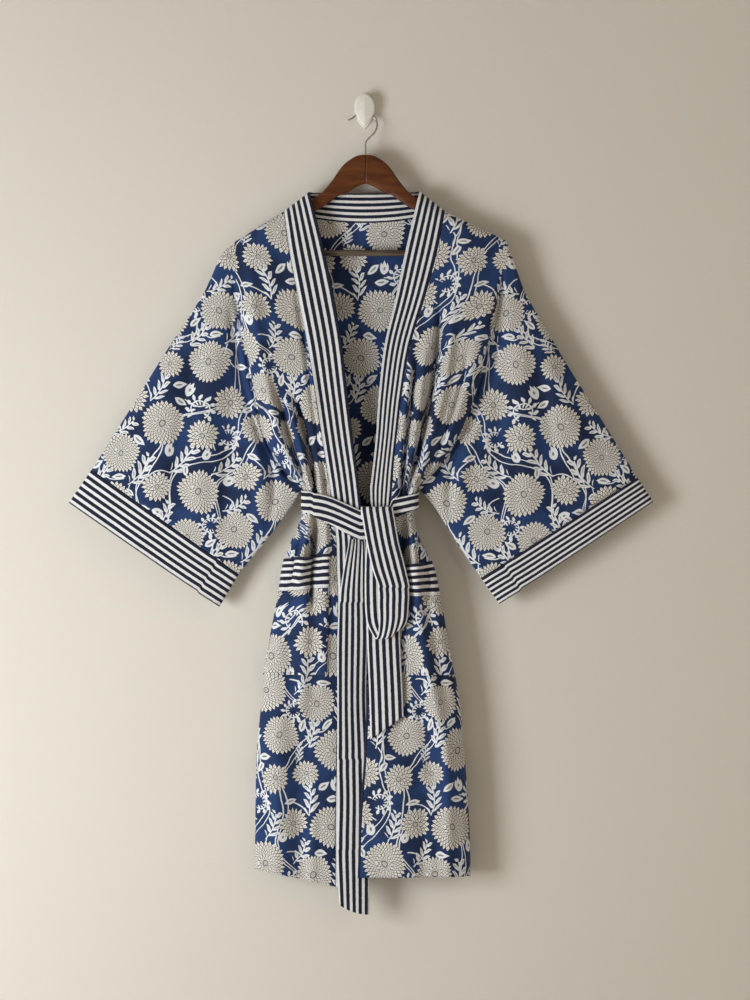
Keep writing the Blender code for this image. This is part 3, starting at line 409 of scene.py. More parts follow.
def frontPoint(side, u, t):
    outerX = outlineAt(2 if side < 0 else 3, t)
    seamX = outlineAt(5 if side < 0 else 6, t)
    outerZ = outlineAt(1, t)
    seamZ = outlineAt(4, t)
    f = u * (1 - robeCut["seamGap"] / abs(seamX - outerX))
    x = outerX + (seamX - outerX) * f
    z = outerZ + (seamZ - outerZ) * f + hemLift(side, u, t)
    edge = smooth(u / 0.3) * smooth(t / 0.6)
    y = depthAt(1, t) - rowDepth(side, t, u) - robeCut["seamGap"] / 2
    y -= (creaseHeight(frontCreases, x, z) * foldScale["front"] + crumple(x, z, 1)) * edge * beltPress(z)
    y -= armStep(t, min(u, 1 - u) * abs(seamX - outerX) if u < 0.5 else 1.0, "body")
    return Vector((x, y, z))


def bandPoint(side, c, t):
    # c runs from the panel seam to the free edge
    seamX = outlineAt(5 if side < 0 else 6, t)
    seamZ = outlineAt(4, t)
    freeX = atRow(robeCut["bands"], 1 if side < 0 else 3, t)
    freeZ = atRow(robeCut["bands"], 2 if side < 0 else 4, t)
    turn = atRow(robeCut["bands"], 5, t) if side > 0 else 0.0
    turn = max(0.0, min(1.0, turn))
    width = math.hypot(freeX - seamX, freeZ - seamZ)
    half = robeCut["seamGap"] / 2
    s = half + c * (width - half)
    radius = robeCut["bandFold"]
    bent = min(s / radius, math.pi)
    after = max(0.0, s - math.pi * radius)
    across = s * (1 - turn) + (radius * math.sin(bent) - after) * turn
    back = radius * (1 - math.cos(bent)) * turn + 1.2 * turn * (1 - turn) * max(0.0, s - 0.006)
    x = seamX + (freeX - seamX) * across / width
    z = seamZ + (freeZ - seamZ) * across / width + hemLift(side, 1.0, t)
    y = depthAt(1, t) - rowDepth(side, t, 1.0) - half + back
    relief = creaseHeight(frontCreases, x, z) * foldScale["front"] + crumple(x, z, 1)
    y -= relief * smooth(t / 0.6) * beltPress(z) + 0.0012 * smooth(s / 0.003) * (1 - turn)
    if side < 0:
        y += 0.004 * c * smooth((t - 11) / 3)
    return Vector((x, y, z))


def topLine(x):
    # Height of the shoulder line and the back neckline above the armhole's top
    neckHalf = robeCut["neckHalf"]
    rise = robeCut["shoulderRise"]
    if abs(x) < neckHalf:
        return rise - robeCut["neckDip"] * (1 - (x / neckHalf) ** 2)
    outer = robeCut["shoulder"][-1 if x < 0 else 1]
    return rise * (outer - abs(x)) / (outer - neckHalf)


def neckFactor(x):
    return roll((robeCut["neckHalf"] - abs(x)) / 0.012, 2.0)


def backPoint(a, t):
    right = outlineAt(2, t)
    left = outlineAt(3, t)
    x = right + (left - right) * a
    topX = -robeCut["shoulder"][-1] + robeCut["shoulderSpan"] * a
    lift = (outlineAt(4, t) - outlineAt(1, t)) / robeCut["shoulderRise"] if t < robeCut["armholeRow"] else 0.0
    drop = 0.0
    if t > 14:
        low = smooth((t - 13.5) / 2.5)
        drop = (0.004 * math.sin(math.pi * a) + hemLift(-1, 0, t) * (1 - a) + hemLift(1, 0, t) * a) * low
    z = outlineAt(1, t) + topLine(topX) * max(0.0, lift) + drop
    u = min(a, 1 - a) * 2
    full = depthAt(4, t)
    arm = depthAt(5, t) * lensClose(t)
    loose = arm + (full - arm) * smooth(u / 0.30)
    shut = arm + (full - arm) * roll(u / 0.16)
    top = topRoll(t)
    if abs(topX) < robeCut["neckHalf"]:
        top += (1 - top) * neckFactor(topX)
    y = depthAt(1, t) + closing(t, loose, shut) * top + robeCut["seamGap"] / 2
    relief = creaseHeight(backCreases, x, z) * foldScale["back"] + crumple(x, z, 3)
    y += relief * smooth(u / 0.25) * smooth(t / 0.6) * beltPress(z)
    return Vector((x, min(y, robeCut["backLimit"]), z))


def neckBackPoint(s, c):
    # s runs from the right neck side to the left one, c from the lower seam to the top edge
    lowX = robeCut["neckHalf"] * (2 * s - 1)
    lowZ = robeCut["shoulderHeight"] + topLine(lowX)
    topHalf, topHeight = robeCut["neckTop"]
    highX = -topHalf + 2 * topHalf * s
    highZ = topHeight + 0.001 * s - 0.002 * math.sin(math.pi * s)
    x = lowX + (highX - lowX) * c
    z = lowZ + (highZ - lowZ) * c
    middle, half, bulge = robeCut["neckDepth"]
    y = middle + robeCut["seamGap"] / 2 + half * neckFactor(lowX)
    y -= bulge * math.sin(math.pi * c) * math.sin(math.pi * s) ** 2
    return Vector((x, y, z))


def armholePoint(side, w):
    t = robeCut["armholeRow"] * w
    return outlineAt(2 if side < 0 else 3, t), outlineAt(1, t)


def sleevePoint(side, ring, v):
    # ring: 0 top edge, 0.5 underarm, front side first; v: 0 armhole, 1 cuff seam
    front = ring <= 0.5
    angle = 2 * math.pi * ring
    w = (1 - math.cos(angle)) / 2
    topEdge = sleeveCut["rightTop" if side < 0 else "leftTop"]
    lowEdge = sleeveCut["rightLow" if side < 0 else "leftLow"]
    ax, az = armholePoint(side, w)
    bx, bz = armholePoint(side, min(1.0, w + 0.01))
    cx, cz = armholePoint(side, max(0.0, w - 0.01))
    length = math.hypot(bx - cx, bz - cz)
    gap = 0.0002 + 0.0003 * (1 - smooth(w / 0.06)) + 0.0012 * smooth((w - 0.85) / 0.15)
    ax += side * abs(bz - cz) / length * gap
    az += -abs(bx - cx) / length * gap * smooth(w * 4)
    tx, tz = alongPath(topEdge, v)
    lx, lz = alongPath(lowEdge, v)

    def blend(start, top, low, k):
        end = topEdge[-1][k] + (lowEdge[-1][k] - topEdge[-1][k]) * w
        value = (1 - v) * start + v * end + (1 - w) * top + w * low
        corners = (1 - w) * ((1 - v) * topEdge[0][k] + v * topEdge[-1][k])
        return value - (corners + w * ((1 - v) * lowEdge[0][k] + v * lowEdge[-1][k]))

    x = blend(ax, tx, lx, 0)
    z = blend(az, tz, lz, 1)
    t = robeCut["armholeRow"] * w
    armDepth = depthAt(5, t) * lensClose(t) * topRoll(t) + robeCut["seamGap"] / 2 * math.sin(angle / 2)
    tubeHalf, tubeMiddle = robeCut["sleeveDepth"]
    tubeDepth = tubeHalf * abs(math.sin(angle)) ** 0.75
    mix = smooth(v * 1.6)
    depth = armDepth * (1 - mix) + tubeDepth * mix
    middle = depthAt(1, t) * (1 - mix) + tubeMiddle * mix
    relief = creaseHeight(sleeveCreases, x, z) * foldScale["sleeve"] + crumple(x, z, 5)
    relief *= min(1.0, depth / 0.010) * smooth(v * 6)
    relief *= 1 - smooth((v - 0.85) / 0.15) * 0.5
    if front:
        relief -= armStep(t, v * 0.28, "sleeve") * smooth(depth / 0.010)
        return Vector((x, middle - depth - relief, z))
    return Vector((x, middle + depth + relief * 0.4, z))


def cuffPoint(side, ring, v):
    end = sleeveCut["rightEnd" if side < 0 else "leftEnd"]
    start = sleevePoint(side, ring, 1.0)
    w = (1 - math.cos(2 * math.pi * ring)) / 2
    ex = end[0][0] + (end[1][0] - end[0][0]) * w
    ez = end[0][1] + (end[1][1] - end[0][1]) * w
    length = math.hypot(ex - start.x, ez - start.z)
    share = robeCut["seamGap"] / length
    f = share + v * (1 - share)
    away = (w - sleeveCut["cuffCrease"]) / 0.012
    press = math.exp(-away * away) if ring <= 0.5 else 0.0
    f += (jog(0.0016, away, 0.2) if ring <= 0.5 else 0.0) / length
    y = start.y + 0.0010 * noise.noise(Vector((start.x * 16, start.z * 16, v * 2))) * v + 0.0016 * press
    return Vector((start.x + (ex - start.x) * f, y, start.z + (ez - start.z) * f))


def pocketPoint(side, uu, t, t0, t1, out, gape):
    # uu is the share across the panel, t the share down the pocket or its band
    tt = t0 + (t1 - t0) * t
    here = frontPoint(side, uu, tt)
    du = frontPoint(side, uu + 0.01, tt) - frontPoint(side, uu - 0.01, tt)
    dt = frontPoint(side, uu, tt + 0.02) - frontPoint(side, uu, tt - 0.02)
    normal = du.cross(dt).normalized()
    if normal.y > 0:
        normal = -normal
    return here + normal * (out + gape * (1 - t) ** 2)


# Materials
class Field:
    # A value in a shader tree, so that what is worked out from it reads as a formula; | is the larger of two
    def __init__(self, tree, socket):
        self.tree = tree
        self.socket = socket

    def calc(self, operation, b=0.0, c=0.0):
        return addMath(self.tree, operation, self, b, c)

    def timesPlus(self, b, c):
        return self.calc("MULTIPLY_ADD", b, c)

    def sine(self):
        return self.calc("SINE")

    def fraction(self):
        return self.calc("FRACT")

    def __add__(self, other):
        return self.calc("ADD", other)

    def __sub__(self, other):
        return self.calc("SUBTRACT", other)

    def __rsub__(self, other):
        return addMath(self.tree, "SUBTRACT", other, self)

    def __mul__(self, other):
        return self.calc("MULTIPLY", other)

    def __truediv__(self, other):
        return self.calc("DIVIDE", other)

    def __or__(self, other):
        return self.calc("MAXIMUM", other)

    def __lt__(self, other):
        return self.calc("LESS_THAN", other)

    def __gt__(self, other):
        return self.calc("GREATER_THAN", other)

    def __abs__(self):
        return self.calc("ABSOLUTE")


def plug(tree, value, socket):
    # Into a socket goes another node's output or a plain value
    source = value.socket if isinstance(value, Field) else value
    if isinstance(source, bpy.types.NodeSocket):
        tree.links.new(source, socket)
    else:
        socket.default_value = source


def addMath(tree, operation, *values):
    node = tree.nodes.new("ShaderNodeMath")
    node.operation = operation
    for socket, value in zip(node.inputs, values):
        plug(tree, value, socket)
    return Field(tree, node.outputs[0])


def addVector(tree, operation, a, b=(0, 0, 0), c=(0, 0, 0), scale=1.0):
    node = tree.nodes.new("ShaderNodeVectorMath")
    node.operation = operation
    for socket, value in zip(node.inputs, (a, b, c, scale)):
        plug(tree, value, socket)
    return Field(tree, node.outputs["Value" if operation == "LENGTH" else "Vector"])


def addSeparate(tree, vector):
    node = tree.nodes.new("ShaderNodeSeparateXYZ")
    plug(tree, vector, node.inputs[0])
    return [Field(tree, socket) for socket in node.outputs]


def addRotate(tree, vector, angle):
    node = tree.nodes.new("ShaderNodeVectorRotate")
    node.rotation_type = "Z_AXIS"
    node.inputs["Angle"].default_value = angle
    plug(tree, vector, node.inputs["Vector"])
    return Field(tree, node.outputs[0])


def addMix(tree, kind, first, result, factor, a, b):
    node = tree.nodes.new("ShaderNodeMix")
    node.data_type = kind
    for index, value in ((0, factor), (first, a), (first + 1, b)):
        plug(tree, value, node.inputs[index])
    return Field(tree, node.outputs[result])


def mixVector(tree, factor, a, b):
    return addMix(tree, "VECTOR", 4, 1, factor, a, b)


def mixColour(tree, factor, a, b):
    return addMix(tree, "RGBA", 6, 2, factor, a, b)


def addNoise(tree, vector, scale, detail=2.0, roughness=0.5):
    # Its first output is a number and its second a colour
    node = tree.nodes.new("ShaderNodeTexNoise")
    for label, value in (("Scale", scale), ("Detail", detail), ("Roughness", roughness), ("Vector", vector)):
        plug(tree, value, node.inputs[label])
    return [Field(tree, socket) for socket in node.outputs]


def softStep(tree, value, low, high):
    node = tree.nodes.new("ShaderNodeMapRange")
    node.interpolation_type = "SMOOTHSTEP"
    for label, given in (("From Min", low), ("From Max", high), ("Value", value)):
        plug(tree, given, node.inputs[label])
    return Field(tree, node.outputs[0])


def makeGroup(name, outputs, **numbers):
    # A node group that takes the place on the cloth and these numbers
    tree = bpy.data.node_groups.new(name, "ShaderNodeTree")
    tree.interface.new_socket("Vector", in_out="INPUT", socket_type="NodeSocketVector")
    for label, value in numbers.items():
        tree.interface.new_socket(label, in_out="INPUT", socket_type="NodeSocketFloat").default_value = value
    for label in outputs:
        tree.interface.new_socket(label, in_out="OUTPUT", socket_type="NodeSocketFloat")
    inputs = tree.nodes.new("NodeGroupInput").outputs
    fields = {socket.name: Field(tree, socket) for socket in inputs if socket.name}
    return tree, fields, tree.nodes.new("NodeGroupOutput").inputs


def placeGroup(tree, group, place):
    node = tree.nodes.new("ShaderNodeGroup")
    node.node_tree = group
    plug(tree, place, node.inputs["Vector"])
    return {socket.name: Field(tree, socket) for socket in node.outputs}


# The block print, laid out on a tile that repeats over the cloth, in metres
printLayout = {
    "tile": (0.24, 0.30),
    # x, y, radius
    "bigFlowers": [(0.052, 0.248, 0.0395), (0.172, 0.186, 0.0390), (0.058, 0.084, 0.0375),
                   (0.022, 0.166, 0.0345), (0.200, 0.108, 0.0345)],
    "smallFlowers": [(0.121, 0.272, 0.0300), (0.128, 0.043, 0.0300), (0.224, 0.256, 0.0285),
                     (0.106, 0.153, 0.0275), (0.190, 0.034, 0.0275), (0.006, 0.041, 0.0255)],
    # middle x, swing, its start, second swing, its start: lines that wind up the whole cloth
    "vines": [(0.0890, 0.0240, 0.20, 0.0120, 5.9), (0.0900, 0.0310, 0.32, 0.0120, 5.6),
              (0.1500, 0.0260, 0.90, 0.0110, 2.6), (0.1520, 0.0200, 1.20, 0.0140, 2.9),
              (0.2175, 0.0220, 5.30, 0.0150, 2.4), (0.2165, 0.0290, 5.45, 0.0140, 2.7)],
    # start x, start y, end x, end y, bulge: side stems
    "stems": [(0.097, 0.100, 0.066, 0.128, 0.006), (0.080, 0.150, 0.112, 0.186, 0.008),
              (0.155, 0.060, 0.150, 0.086, -0.004), (0.138, 0.196, 0.176, 0.226, -0.008),
              (0.226, 0.140, 0.250, 0.104, 0.007), (0.212, 0.206, 0.242, 0.190, 0.006),
              (0.096, 0.020, 0.060, 0.006, 0.006), (0.206, 0.290, 0.252, 0.270, 0.007),
              (0.024, 0.118, 0.050, 0.132, -0.005), (0.154, 0.262, 0.128, 0.296, 0.006)],
    "stemHalfWidth": 0.00105,
    # number of petals, depth of the notches between them
    "bigPetals": (29, 0.12),
    "smallPetals": (18, 0.21),
    "petalLine": 0.390,
    "petalRib": 0.085,
    # how far the noise shifts the print: fine for the block's edges, wide for the whole drawing
    "edgeNoise": (260.0, (0.0008, 0.0008, 0.0)),
    "driftNoise": (24.0, (0.0130, 0.0130, 0.0)),
    # x, y, angle in degrees, length
    "sprays": [(0.112, 0.184, 80, 0.064), (0.149, 0.084, 96, 0.060), (0.066, 0.126, 88, 0.066),
               (0.177, 0.224, 74, 0.058), (0.226, 0.180, 62, 0.052), (0.009, 0.082, 78, 0.056),
               (0.016, 0.268, 96, 0.058), (0.230, 0.060, 84, 0.036)],
    # x, y, angle in degrees, radius: sprays curled nearly into a ring
    "curls": [(0.092, 0.008, 110, 0.0150), (0.160, 0.294, 20, 0.0130), (0.222, 0.150, 200, 0.0125)],
    # x, y, angle in degrees, length
    "leaves": [(0.098, 0.102, 30, 0.025), (0.137, 0.196, 118, 0.023), (0.157, 0.044, 62, 0.023),
               (0.160, 0.068, 8, 0.022), (0.236, 0.116, 74, 0.024), (0.033, 0.122, 42, 0.024),
               (0.022, 0.203, -8, 0.026), (0.030, 0.012, 42, 0.025), (0.044, 0.297, 4, 0.026),
               (0.206, 0.290, 12, 0.023), (0.084, 0.116, 172, 0.020), (0.126, 0.100, 60, 0.022)],
    "buds": [(0.060, 0.012, 96, 0.028), (0.146, 0.236, 98, 0.024), (0.200, 0.224, 60, 0.024),
             (0.088, 0.206, 96, 0.026), (0.122, 0.116, 8, 0.024)],
}


def tileLocal(tree, place, x, y, angle, size):
    # The place seen from one motif, turned and scaled so that the motif is one unit long
    width, height = printLayout["tile"]
    local = addVector(tree, "SUBTRACT", place, (x, y, 0))
    local = addVector(tree, "WRAP", local, (width / 2, height / 2, 1), (-width / 2, -height / 2, -1))
    if angle:
        local = addRotate(tree, local, -angle)
    return addVector(tree, "SCALE", local, scale=1 / size)


def nearestMotif(tree, place, motifs, reach):
    # One vector for all motifs of a kind, because they don't overlap
    found = None
    for x, y, angle, size in motifs:
        local = tileLocal(tree, place, x, y, angle, size)
        near = addVector(tree, "LENGTH", local) < reach
        found = mixVector(tree, near, found or (9, 9, 0), local)
    return found


def distance(a, b, aScale, bScale, a0=0.0, b0=0.0):
    # Distance of (a, b) from (a0, b0), with each direction scaled
    da = (a - a0) * aScale
    db = (b - b0) * bScale
    return da.timesPlus(da, db * db).calc("SQRT")


def polar(tree, local):
    across, up, depth = addSeparate(tree, local)
    return addVector(tree, "LENGTH", local), up.calc("ARCTAN2", across)


def drawFlower(tree, local, petals, notch):
    # Pointed petals between two sets of spirals, with toothed edges; returns the shape and what is drawn on it
    rho, theta = polar(tree, local)
    turns = theta * (petals / (2 * math.pi))
    tip = abs(turns.fraction() - 0.5)
    sway = theta.timesPlus(5.0, petals).sine()
    rim = sway.timesPlus(notch * 0.20, 1.0 - notch * 0.20)
    tooth = tip.timesPlus(2 * notch, -notch)
    inside = rho < tooth + rim
    spread = (rho / rim).calc("LOGARITHM", math.e) - 0.035
    fewer = (rho < 0.42).timesPlus(-0.5, 1.0)
    climb = spread * fewer * (petals * 0.62 / (2 * math.pi))
    around = turns * fewer
    one = (around + climb).fraction() - 0.5
    other = (around - climb).fraction() - 0.5
    outline = (abs(one) | abs(other)) > printLayout["petalLine"]
    rib = distance(one - other, one + other, 0.20, 1.0, a0=0.06) < printLayout["petalRib"]
    eye = abs(rho - 0.13) < 0.022
    return inside, outline | rib | eye


def drawLeaf(tree, local, halfWidth):
    x, y, depth = addSeparate(tree, local)
    bow = ((x + 0.5).calc("POWER", 0.8) * math.pi).sine()
    inside = abs(y) < bow * halfWidth
    return inside, distance(x, y, 0.22, 1.0, a0=-0.05) < 0.055


def drawBud(tree, local):
    # A closed flower with three points and a dark heart
    x, y, depth = addSeparate(tree, local)
    along = x + 0.5
    bow = (along.calc("POWER", 0.62) * 2.75).sine()
    wide = abs(y) < bow * 0.31
    teeth = abs(y.timesPlus(3.6, 0.5).fraction() - 0.5)
    cut = along < teeth.timesPlus(-0.62, 0.98)
    return wide * cut, distance(x, y, 0.6, 1.0, a0=-0.08) < 0.075


def drawSpray(tree, local):
    # A bent stem with leaflets in turn on its two sides, leaning forward
    x, y, depth = addSeparate(tree, local)
    along = x + 0.5
    across = y + 0.04 - x * x * 0.35
    off = abs(across)
    stem = (off < 0.020) * (along < 0.9)
    turn = (across > 0.0) * 0.5
    lean = off.timesPlus(-0.95, along)
    cell = lean.timesPlus(4.3, turn).fraction() - 0.5
    share = (off / along.timesPlus(-0.14, 0.32)).calc("MINIMUM", 1.0)
    bow = (share.calc("POWER", 0.85) * math.pi).sine()
    leaflet = (abs(cell) < bow * 0.33) * (lean > 0.04)
    vein = distance(cell, share, 1.0, 0.35, b0=0.55) < 0.075
    return (stem | leaflet) * (abs(x) < 0.5), vein * leaflet


def drawCurl(tree, local):
    # A stem bent round most of a circle, with leaflets outside and smaller ones inside
    rho, theta = polar(tree, local)
    out = rho - 1.0
    stem = abs(out) < 0.075
    reach = (out > 0.0).timesPlus(0.28, 0.52)
    share = (abs(out) / reach).calc("MINIMUM", 1.0)
    lean = share.timesPlus(0.30, theta * (11 / (2 * math.pi)))
    cell = abs(lean.fraction() - 0.5)
    leaflet = cell < (share * math.pi).sine() * 0.27
    return (stem | leaflet) * (abs(theta) < 2.45)


def drawStem(tree, place, x0, y0, x1, y1, bulge):
    length = math.hypot(x1 - x0, y1 - y0)
    angle = math.atan2(y1 - y0, x1 - x0)
    x, y, depth = addSeparate(tree, tileLocal(tree, place, (x0 + x1) / 2, (y0 + y1) / 2, angle, length))
    square = x * x
    arch = square.timesPlus(4 * bulge / length, -bulge / length)
    return (abs(y + arch) < printLayout["stemHalfWidth"] / length) * (square < 0.2525)


def drawVine(tree, across, angle, middle, swing, start, swing2, start2):
    width = printLayout["tile"][0]
    first = (angle + start).sine().timesPlus(swing, middle)
    curve = angle.timesPlus(2.0, start2).sine().timesPlus(swing2, first)
    return abs((across - curve).calc("WRAP", width / 2, -width / 2)) < printLayout["stemHalfWidth"]


def evenNoise(tree, place, scale, detail=2.0):
    # Noise in three directions about nothing
    return addVector(tree, "SUBTRACT", addNoise(tree, place, scale, detail)[1], (0.5, 0.5, 0.5))


def makePrintGroup():
    tree, inputs, outputs = makeGroup("flowerPrint", ["Cream", "Petals", "Lines"])
    # The hand cut block's edges are never quite even
    fineScale, fineShift = printLayout["edgeNoise"]
    place = addVector(tree, "MULTIPLY_ADD", evenNoise(tree, inputs["Vector"], fineScale), fineShift, inputs["Vector"])
    wideScale, wideShift = printLayout["driftNoise"]
    place = addVector(tree, "MULTIPLY_ADD", evenNoise(tree, inputs["Vector"], wideScale, 1.0), wideShift, place)
    parts = addSeparate(tree, place)
    angle = parts[1] * (2 * math.pi / printLayout["tile"][1])

    def turned(kind, centred=True):
        # Motifs given by their start are placed by their middle
        found = []
        for x, y, degrees, size in printLayout[kind]:
            a = math.radians(degrees)
            half = size / 2 if centred else 0.0
            found.append((x + half * math.cos(a), y + half * math.sin(a), a, size))
        return found

    green = [drawStem(tree, place, *stem) for stem in printLayout["stems"]]
    green += [drawVine(tree, parts[0], angle, *vine) for vine in printLayout["vines"]]
    spray, sprayVein = drawSpray(tree, nearestMotif(tree, place, turned("sprays"), 0.60))
    curl = drawCurl(tree, nearestMotif(tree, place, turned("curls", centred=False), 1.85))
    leaf, leafVein = drawLeaf(tree, nearestMotif(tree, place, turned("leaves"), 0.51), 0.23)
    bud, budHeart = drawBud(tree, nearestMotif(tree, place, turned("buds"), 0.55))
    green = reduce(Field.__or__, green + [spray, curl, leaf, bud])
    big = nearestMotif(tree, place, [(x, y, 0, r) for x, y, r in printLayout["bigFlowers"]], 1.0)
    bigShape, bigLines = drawFlower(tree, big, *printLayout["bigPetals"])
    small = nearestMotif(tree, place, [(x, y, 0.3, r) for x, y, r in printLayout["smallFlowers"]], 1.0)
    smallShape, smallLines = drawFlower(tree, small, *printLayout["smallPetals"])
    flowers = bigShape | smallShape
    marks = (leaf * leafVein | bud * budHeart | sprayVein * 0.7) * (1.0 - flowers)
    plug(tree, green | flowers, outputs["Cream"])
    plug(tree, flowers, outputs["Petals"])
    plug(tree, bigShape * bigLines | smallShape * smallLines | marks * 0.8, outputs["Lines"])
    return tree


def makeStripeGroup():
    tree, inputs, outputs = makeGroup("stripePrint", ["Navy"], Pitch=0.011)
    wobble = addNoise(tree, inputs["Vector"], 140.0)[0] - 0.5
    across = wobble.timesPlus(0.0011, addSeparate(tree, inputs["Vector"])[0])
    middle = abs((across / inputs["Pitch"]).fraction() - 0.26)
    wrapped = middle.calc("MINIMUM", 1.0 - middle)
    plug(tree, softStep(tree, wrapped, 0.300, 0.255), outputs["Navy"])
    return tree


def makeWeaveGroup():
    # Plain weave: threads over and under, with thicker threads here and there
    tree, inputs, outputs = makeGroup("weaveRelief", ["Height"], Threads=2600.0)
    parts = addSeparate(tree, addVector(tree, "SCALE", inputs["Vector"], scale=inputs["Threads"]))
    cloth = (parts[0] * math.pi).sine() * (parts[1] * math.pi).sine()
    slub = addNoise(tree, addVector(tree, "MULTIPLY", inputs["Vector"], (900, 60, 1)), 1.0, 1.0)[0]
    plug(tree, cloth.timesPlus(0.35, slub * 0.9), outputs["Height"])
    return tree


def makeFadeGroup():
    # Slight unevenness of the dye, wide and fine
    tree, inputs, outputs = makeGroup("clothVariation", ["Wide", "Fine"])
    plug(tree, addNoise(tree, inputs["Vector"], 9.0, 3.0, 0.6)[0], outputs["Wide"])
    plug(tree, addNoise(tree, inputs["Vector"], 420.0, 3.0, 0.7)[0], outputs["Fine"])
    return tree


flowerPrint = makePrintGroup()
stripePrint = makeStripeGroup()
weaveRelief = makeWeaveGroup()
clothVariation = makeFadeGroup()


def startMaterial(name, roughness, metallic=0.0):
    material = bpy.data.materials.new(name)
    material.use_nodes = True
    tree = material.node_tree
    shader = tree.nodes["Principled BSDF"]
    setInputs(tree, shader, {"Roughness": roughness, "Metallic": metallic})
    return material, tree, shader


def setInputs(tree, shader, values):
    for label, value in values.items():
        plug(tree, value, shader.inputs[label])


def addBump(tree, shader, height, strength, distance):
    bump = tree.nodes.new("ShaderNodeBump")
    setInputs(tree, bump, {"Strength": strength, "Distance": distance, "Height": height})
    plug(tree, bump.outputs[0], shader.inputs["Normal"])


def objectPlace(tree):
    return tree.nodes.new("ShaderNodeTexCoord").outputs["Object"]


def startCotton(name, roughness):
    # The unevenness and the weave that both cloths have
    material, tree, shader = startMaterial(name, roughness)
    node = tree.nodes.new("ShaderNodeUVMap")
    node.uv_map = "clothUv"
    place = node.outputs[0]
    shader.inputs["Specular IOR Level"].default_value = 0.25
    addBump(tree, shader, placeGroup(tree, weaveRelief, place)["Height"], 0.35, 0.00025)
    return material, tree, shader, place, placeGroup(tree, clothVariation, place)


cottonColours = {
    "blue": (0.0140, 0.043, 0.150, 1),
    "deepBlue": (0.0040, 0.011, 0.045, 1),
    "faded": (0.070, 0.130, 0.30, 1),
    "petal": (0.95, 0.92, 0.865, 1),
    "leaf": (0.88, 0.90, 0.94, 1),
    "fleck": (0.40, 0.37, 0.33, 1),
    "drawn": (0.050, 0.042, 0.045, 1),
    "white": (0.89, 0.885, 0.89, 1),
    "greyed": (0.60, 0.60, 0.61, 1),
    "navy": (0.006, 0.008, 0.024, 1),
    "worn": (0.024, 0.032, 0.075, 1),
}


def makePrintedCotton():
    material, tree, shader, place, fade = startCotton("printedCotton", 0.82)
    pattern = placeGroup(tree, flowerPrint, place)
    wide = softStep(tree, fade["Wide"], 0.38, 0.62)
    ground = mixColour(tree, wide, cottonColours["deepBlue"], cottonColours["blue"])
    ground = mixColour(tree, fade["Fine"] * 0.22, ground, cottonColours["faded"])
    light = mixColour(tree, pattern["Petals"], cottonColours["leaf"], cottonColours["petal"])
    light = mixColour(tree, fade["Fine"] * 0.20, light, cottonColours["fleck"])
    light = mixColour(tree, pattern["Lines"] * 0.92, light, cottonColours["drawn"])
    setInputs(tree, shader, {"Base Color": mixColour(tree, pattern["Cream"], ground, light),
                             "Sheen Weight": 0.06, "Sheen Roughness": 0.5})
    return material


def makeStripedCotton():
    material, tree, shader, place, fade = startCotton("stripedCotton", 0.80)
    stripes = placeGroup(tree, stripePrint, place)
    white = mixColour(tree, fade["Fine"] * 0.24, cottonColours["white"], cottonColours["greyed"])
    navy = mixColour(tree, fade["Fine"] * 0.45, cottonColours["navy"], cottonColours["worn"])
    setInputs(tree, shader, {"Base Color": mixColour(tree, stripes["Navy"], white, navy), "Sheen Weight": 0.10})
    return material


def makeThread(name, colour):
    material, tree, shader = startMaterial(name, 0.7)
    twist = addNoise(tree, objectPlace(tree), 3500.0, 1.0)[0]
    dark = tuple(v * 0.55 for v in colour[:3]) + (1,)
    plug(tree, mixColour(tree, twist, dark, colour), shader.inputs["Base Color"])
    return material


def makeWood():
    material, tree, shader = startMaterial("darkWood", 0.38)
    place = objectPlace(tree)
    drift = addNoise(tree, place, 9.0, 2.0)[1]
    bent = addVector(tree, "MULTIPLY_ADD", drift, (0.02, 0.02, 0.02), place)
    grain = addNoise(tree, addVector(tree, "MULTIPLY", bent, (14, 90, 120)), 1.0, 5.0, 0.6)[0]
    pores = addNoise(tree, addVector(tree, "MULTIPLY", bent, (120, 900, 1400)), 1.0, 2.0)[0]
    colour = mixColour(tree, softStep(tree, grain, 0.36, 0.66), (0.092, 0.022, 0.004, 1), (0.150, 0.043, 0.007, 1))
    colour = mixColour(tree, softStep(tree, pores, 0.62, 0.78), colour, (0.050, 0.014, 0.005, 1))
    # The two arms meet in a thin dark line
    fromSeam = abs(addSeparate(tree, place)[0] - 0.0018)
    colour = mixColour(tree, softStep(tree, fromSeam, 0.0009, 0.0005), colour, (0.022, 0.008, 0.003, 1))
    setInputs(tree, shader, {"Base Color": colour, "Coat Weight": 0.10, "Coat Roughness": 0.25,
                             "Specular IOR Level": 0.30, "Roughness": pores.timesPlus(0.22, 0.36)})
    addBump(tree, shader, grain, 0.12, 0.0004)
    return material


def makeBarWood():
    # The bar is unstained and gone grey
    material, tree, shader = startMaterial("greyWood", 0.55)
    grain = addNoise(tree, addVector(tree, "MULTIPLY", objectPlace(tree), (12, 500, 500)), 1.0, 4.0, 0.6)[0]
    colour = mixColour(tree, softStep(tree, grain, 0.35, 0.65), (0.060, 0.040, 0.026, 1), (0.150, 0.112, 0.080, 1))
    plug(tree, colour, shader.inputs["Base Color"])
    addBump(tree, shader, grain, 0.2, 0.0003)
    return material


def makeSteel():
    material, tree, shader = startMaterial("brightSteel", 0.24, 1.0)
    scratch = addNoise(tree, addVector(tree, "MULTIPLY", objectPlace(tree), (500, 500, 60)), 1.0, 3.0)[0]
    setInputs(tree, shader, {"Base Color": mixColour(tree, scratch, (0.42, 0.40, 0.37, 1), (0.66, 0.64, 0.60, 1)),
                             "Roughness": scratch.timesPlus(0.22, 0.14)})
    return material


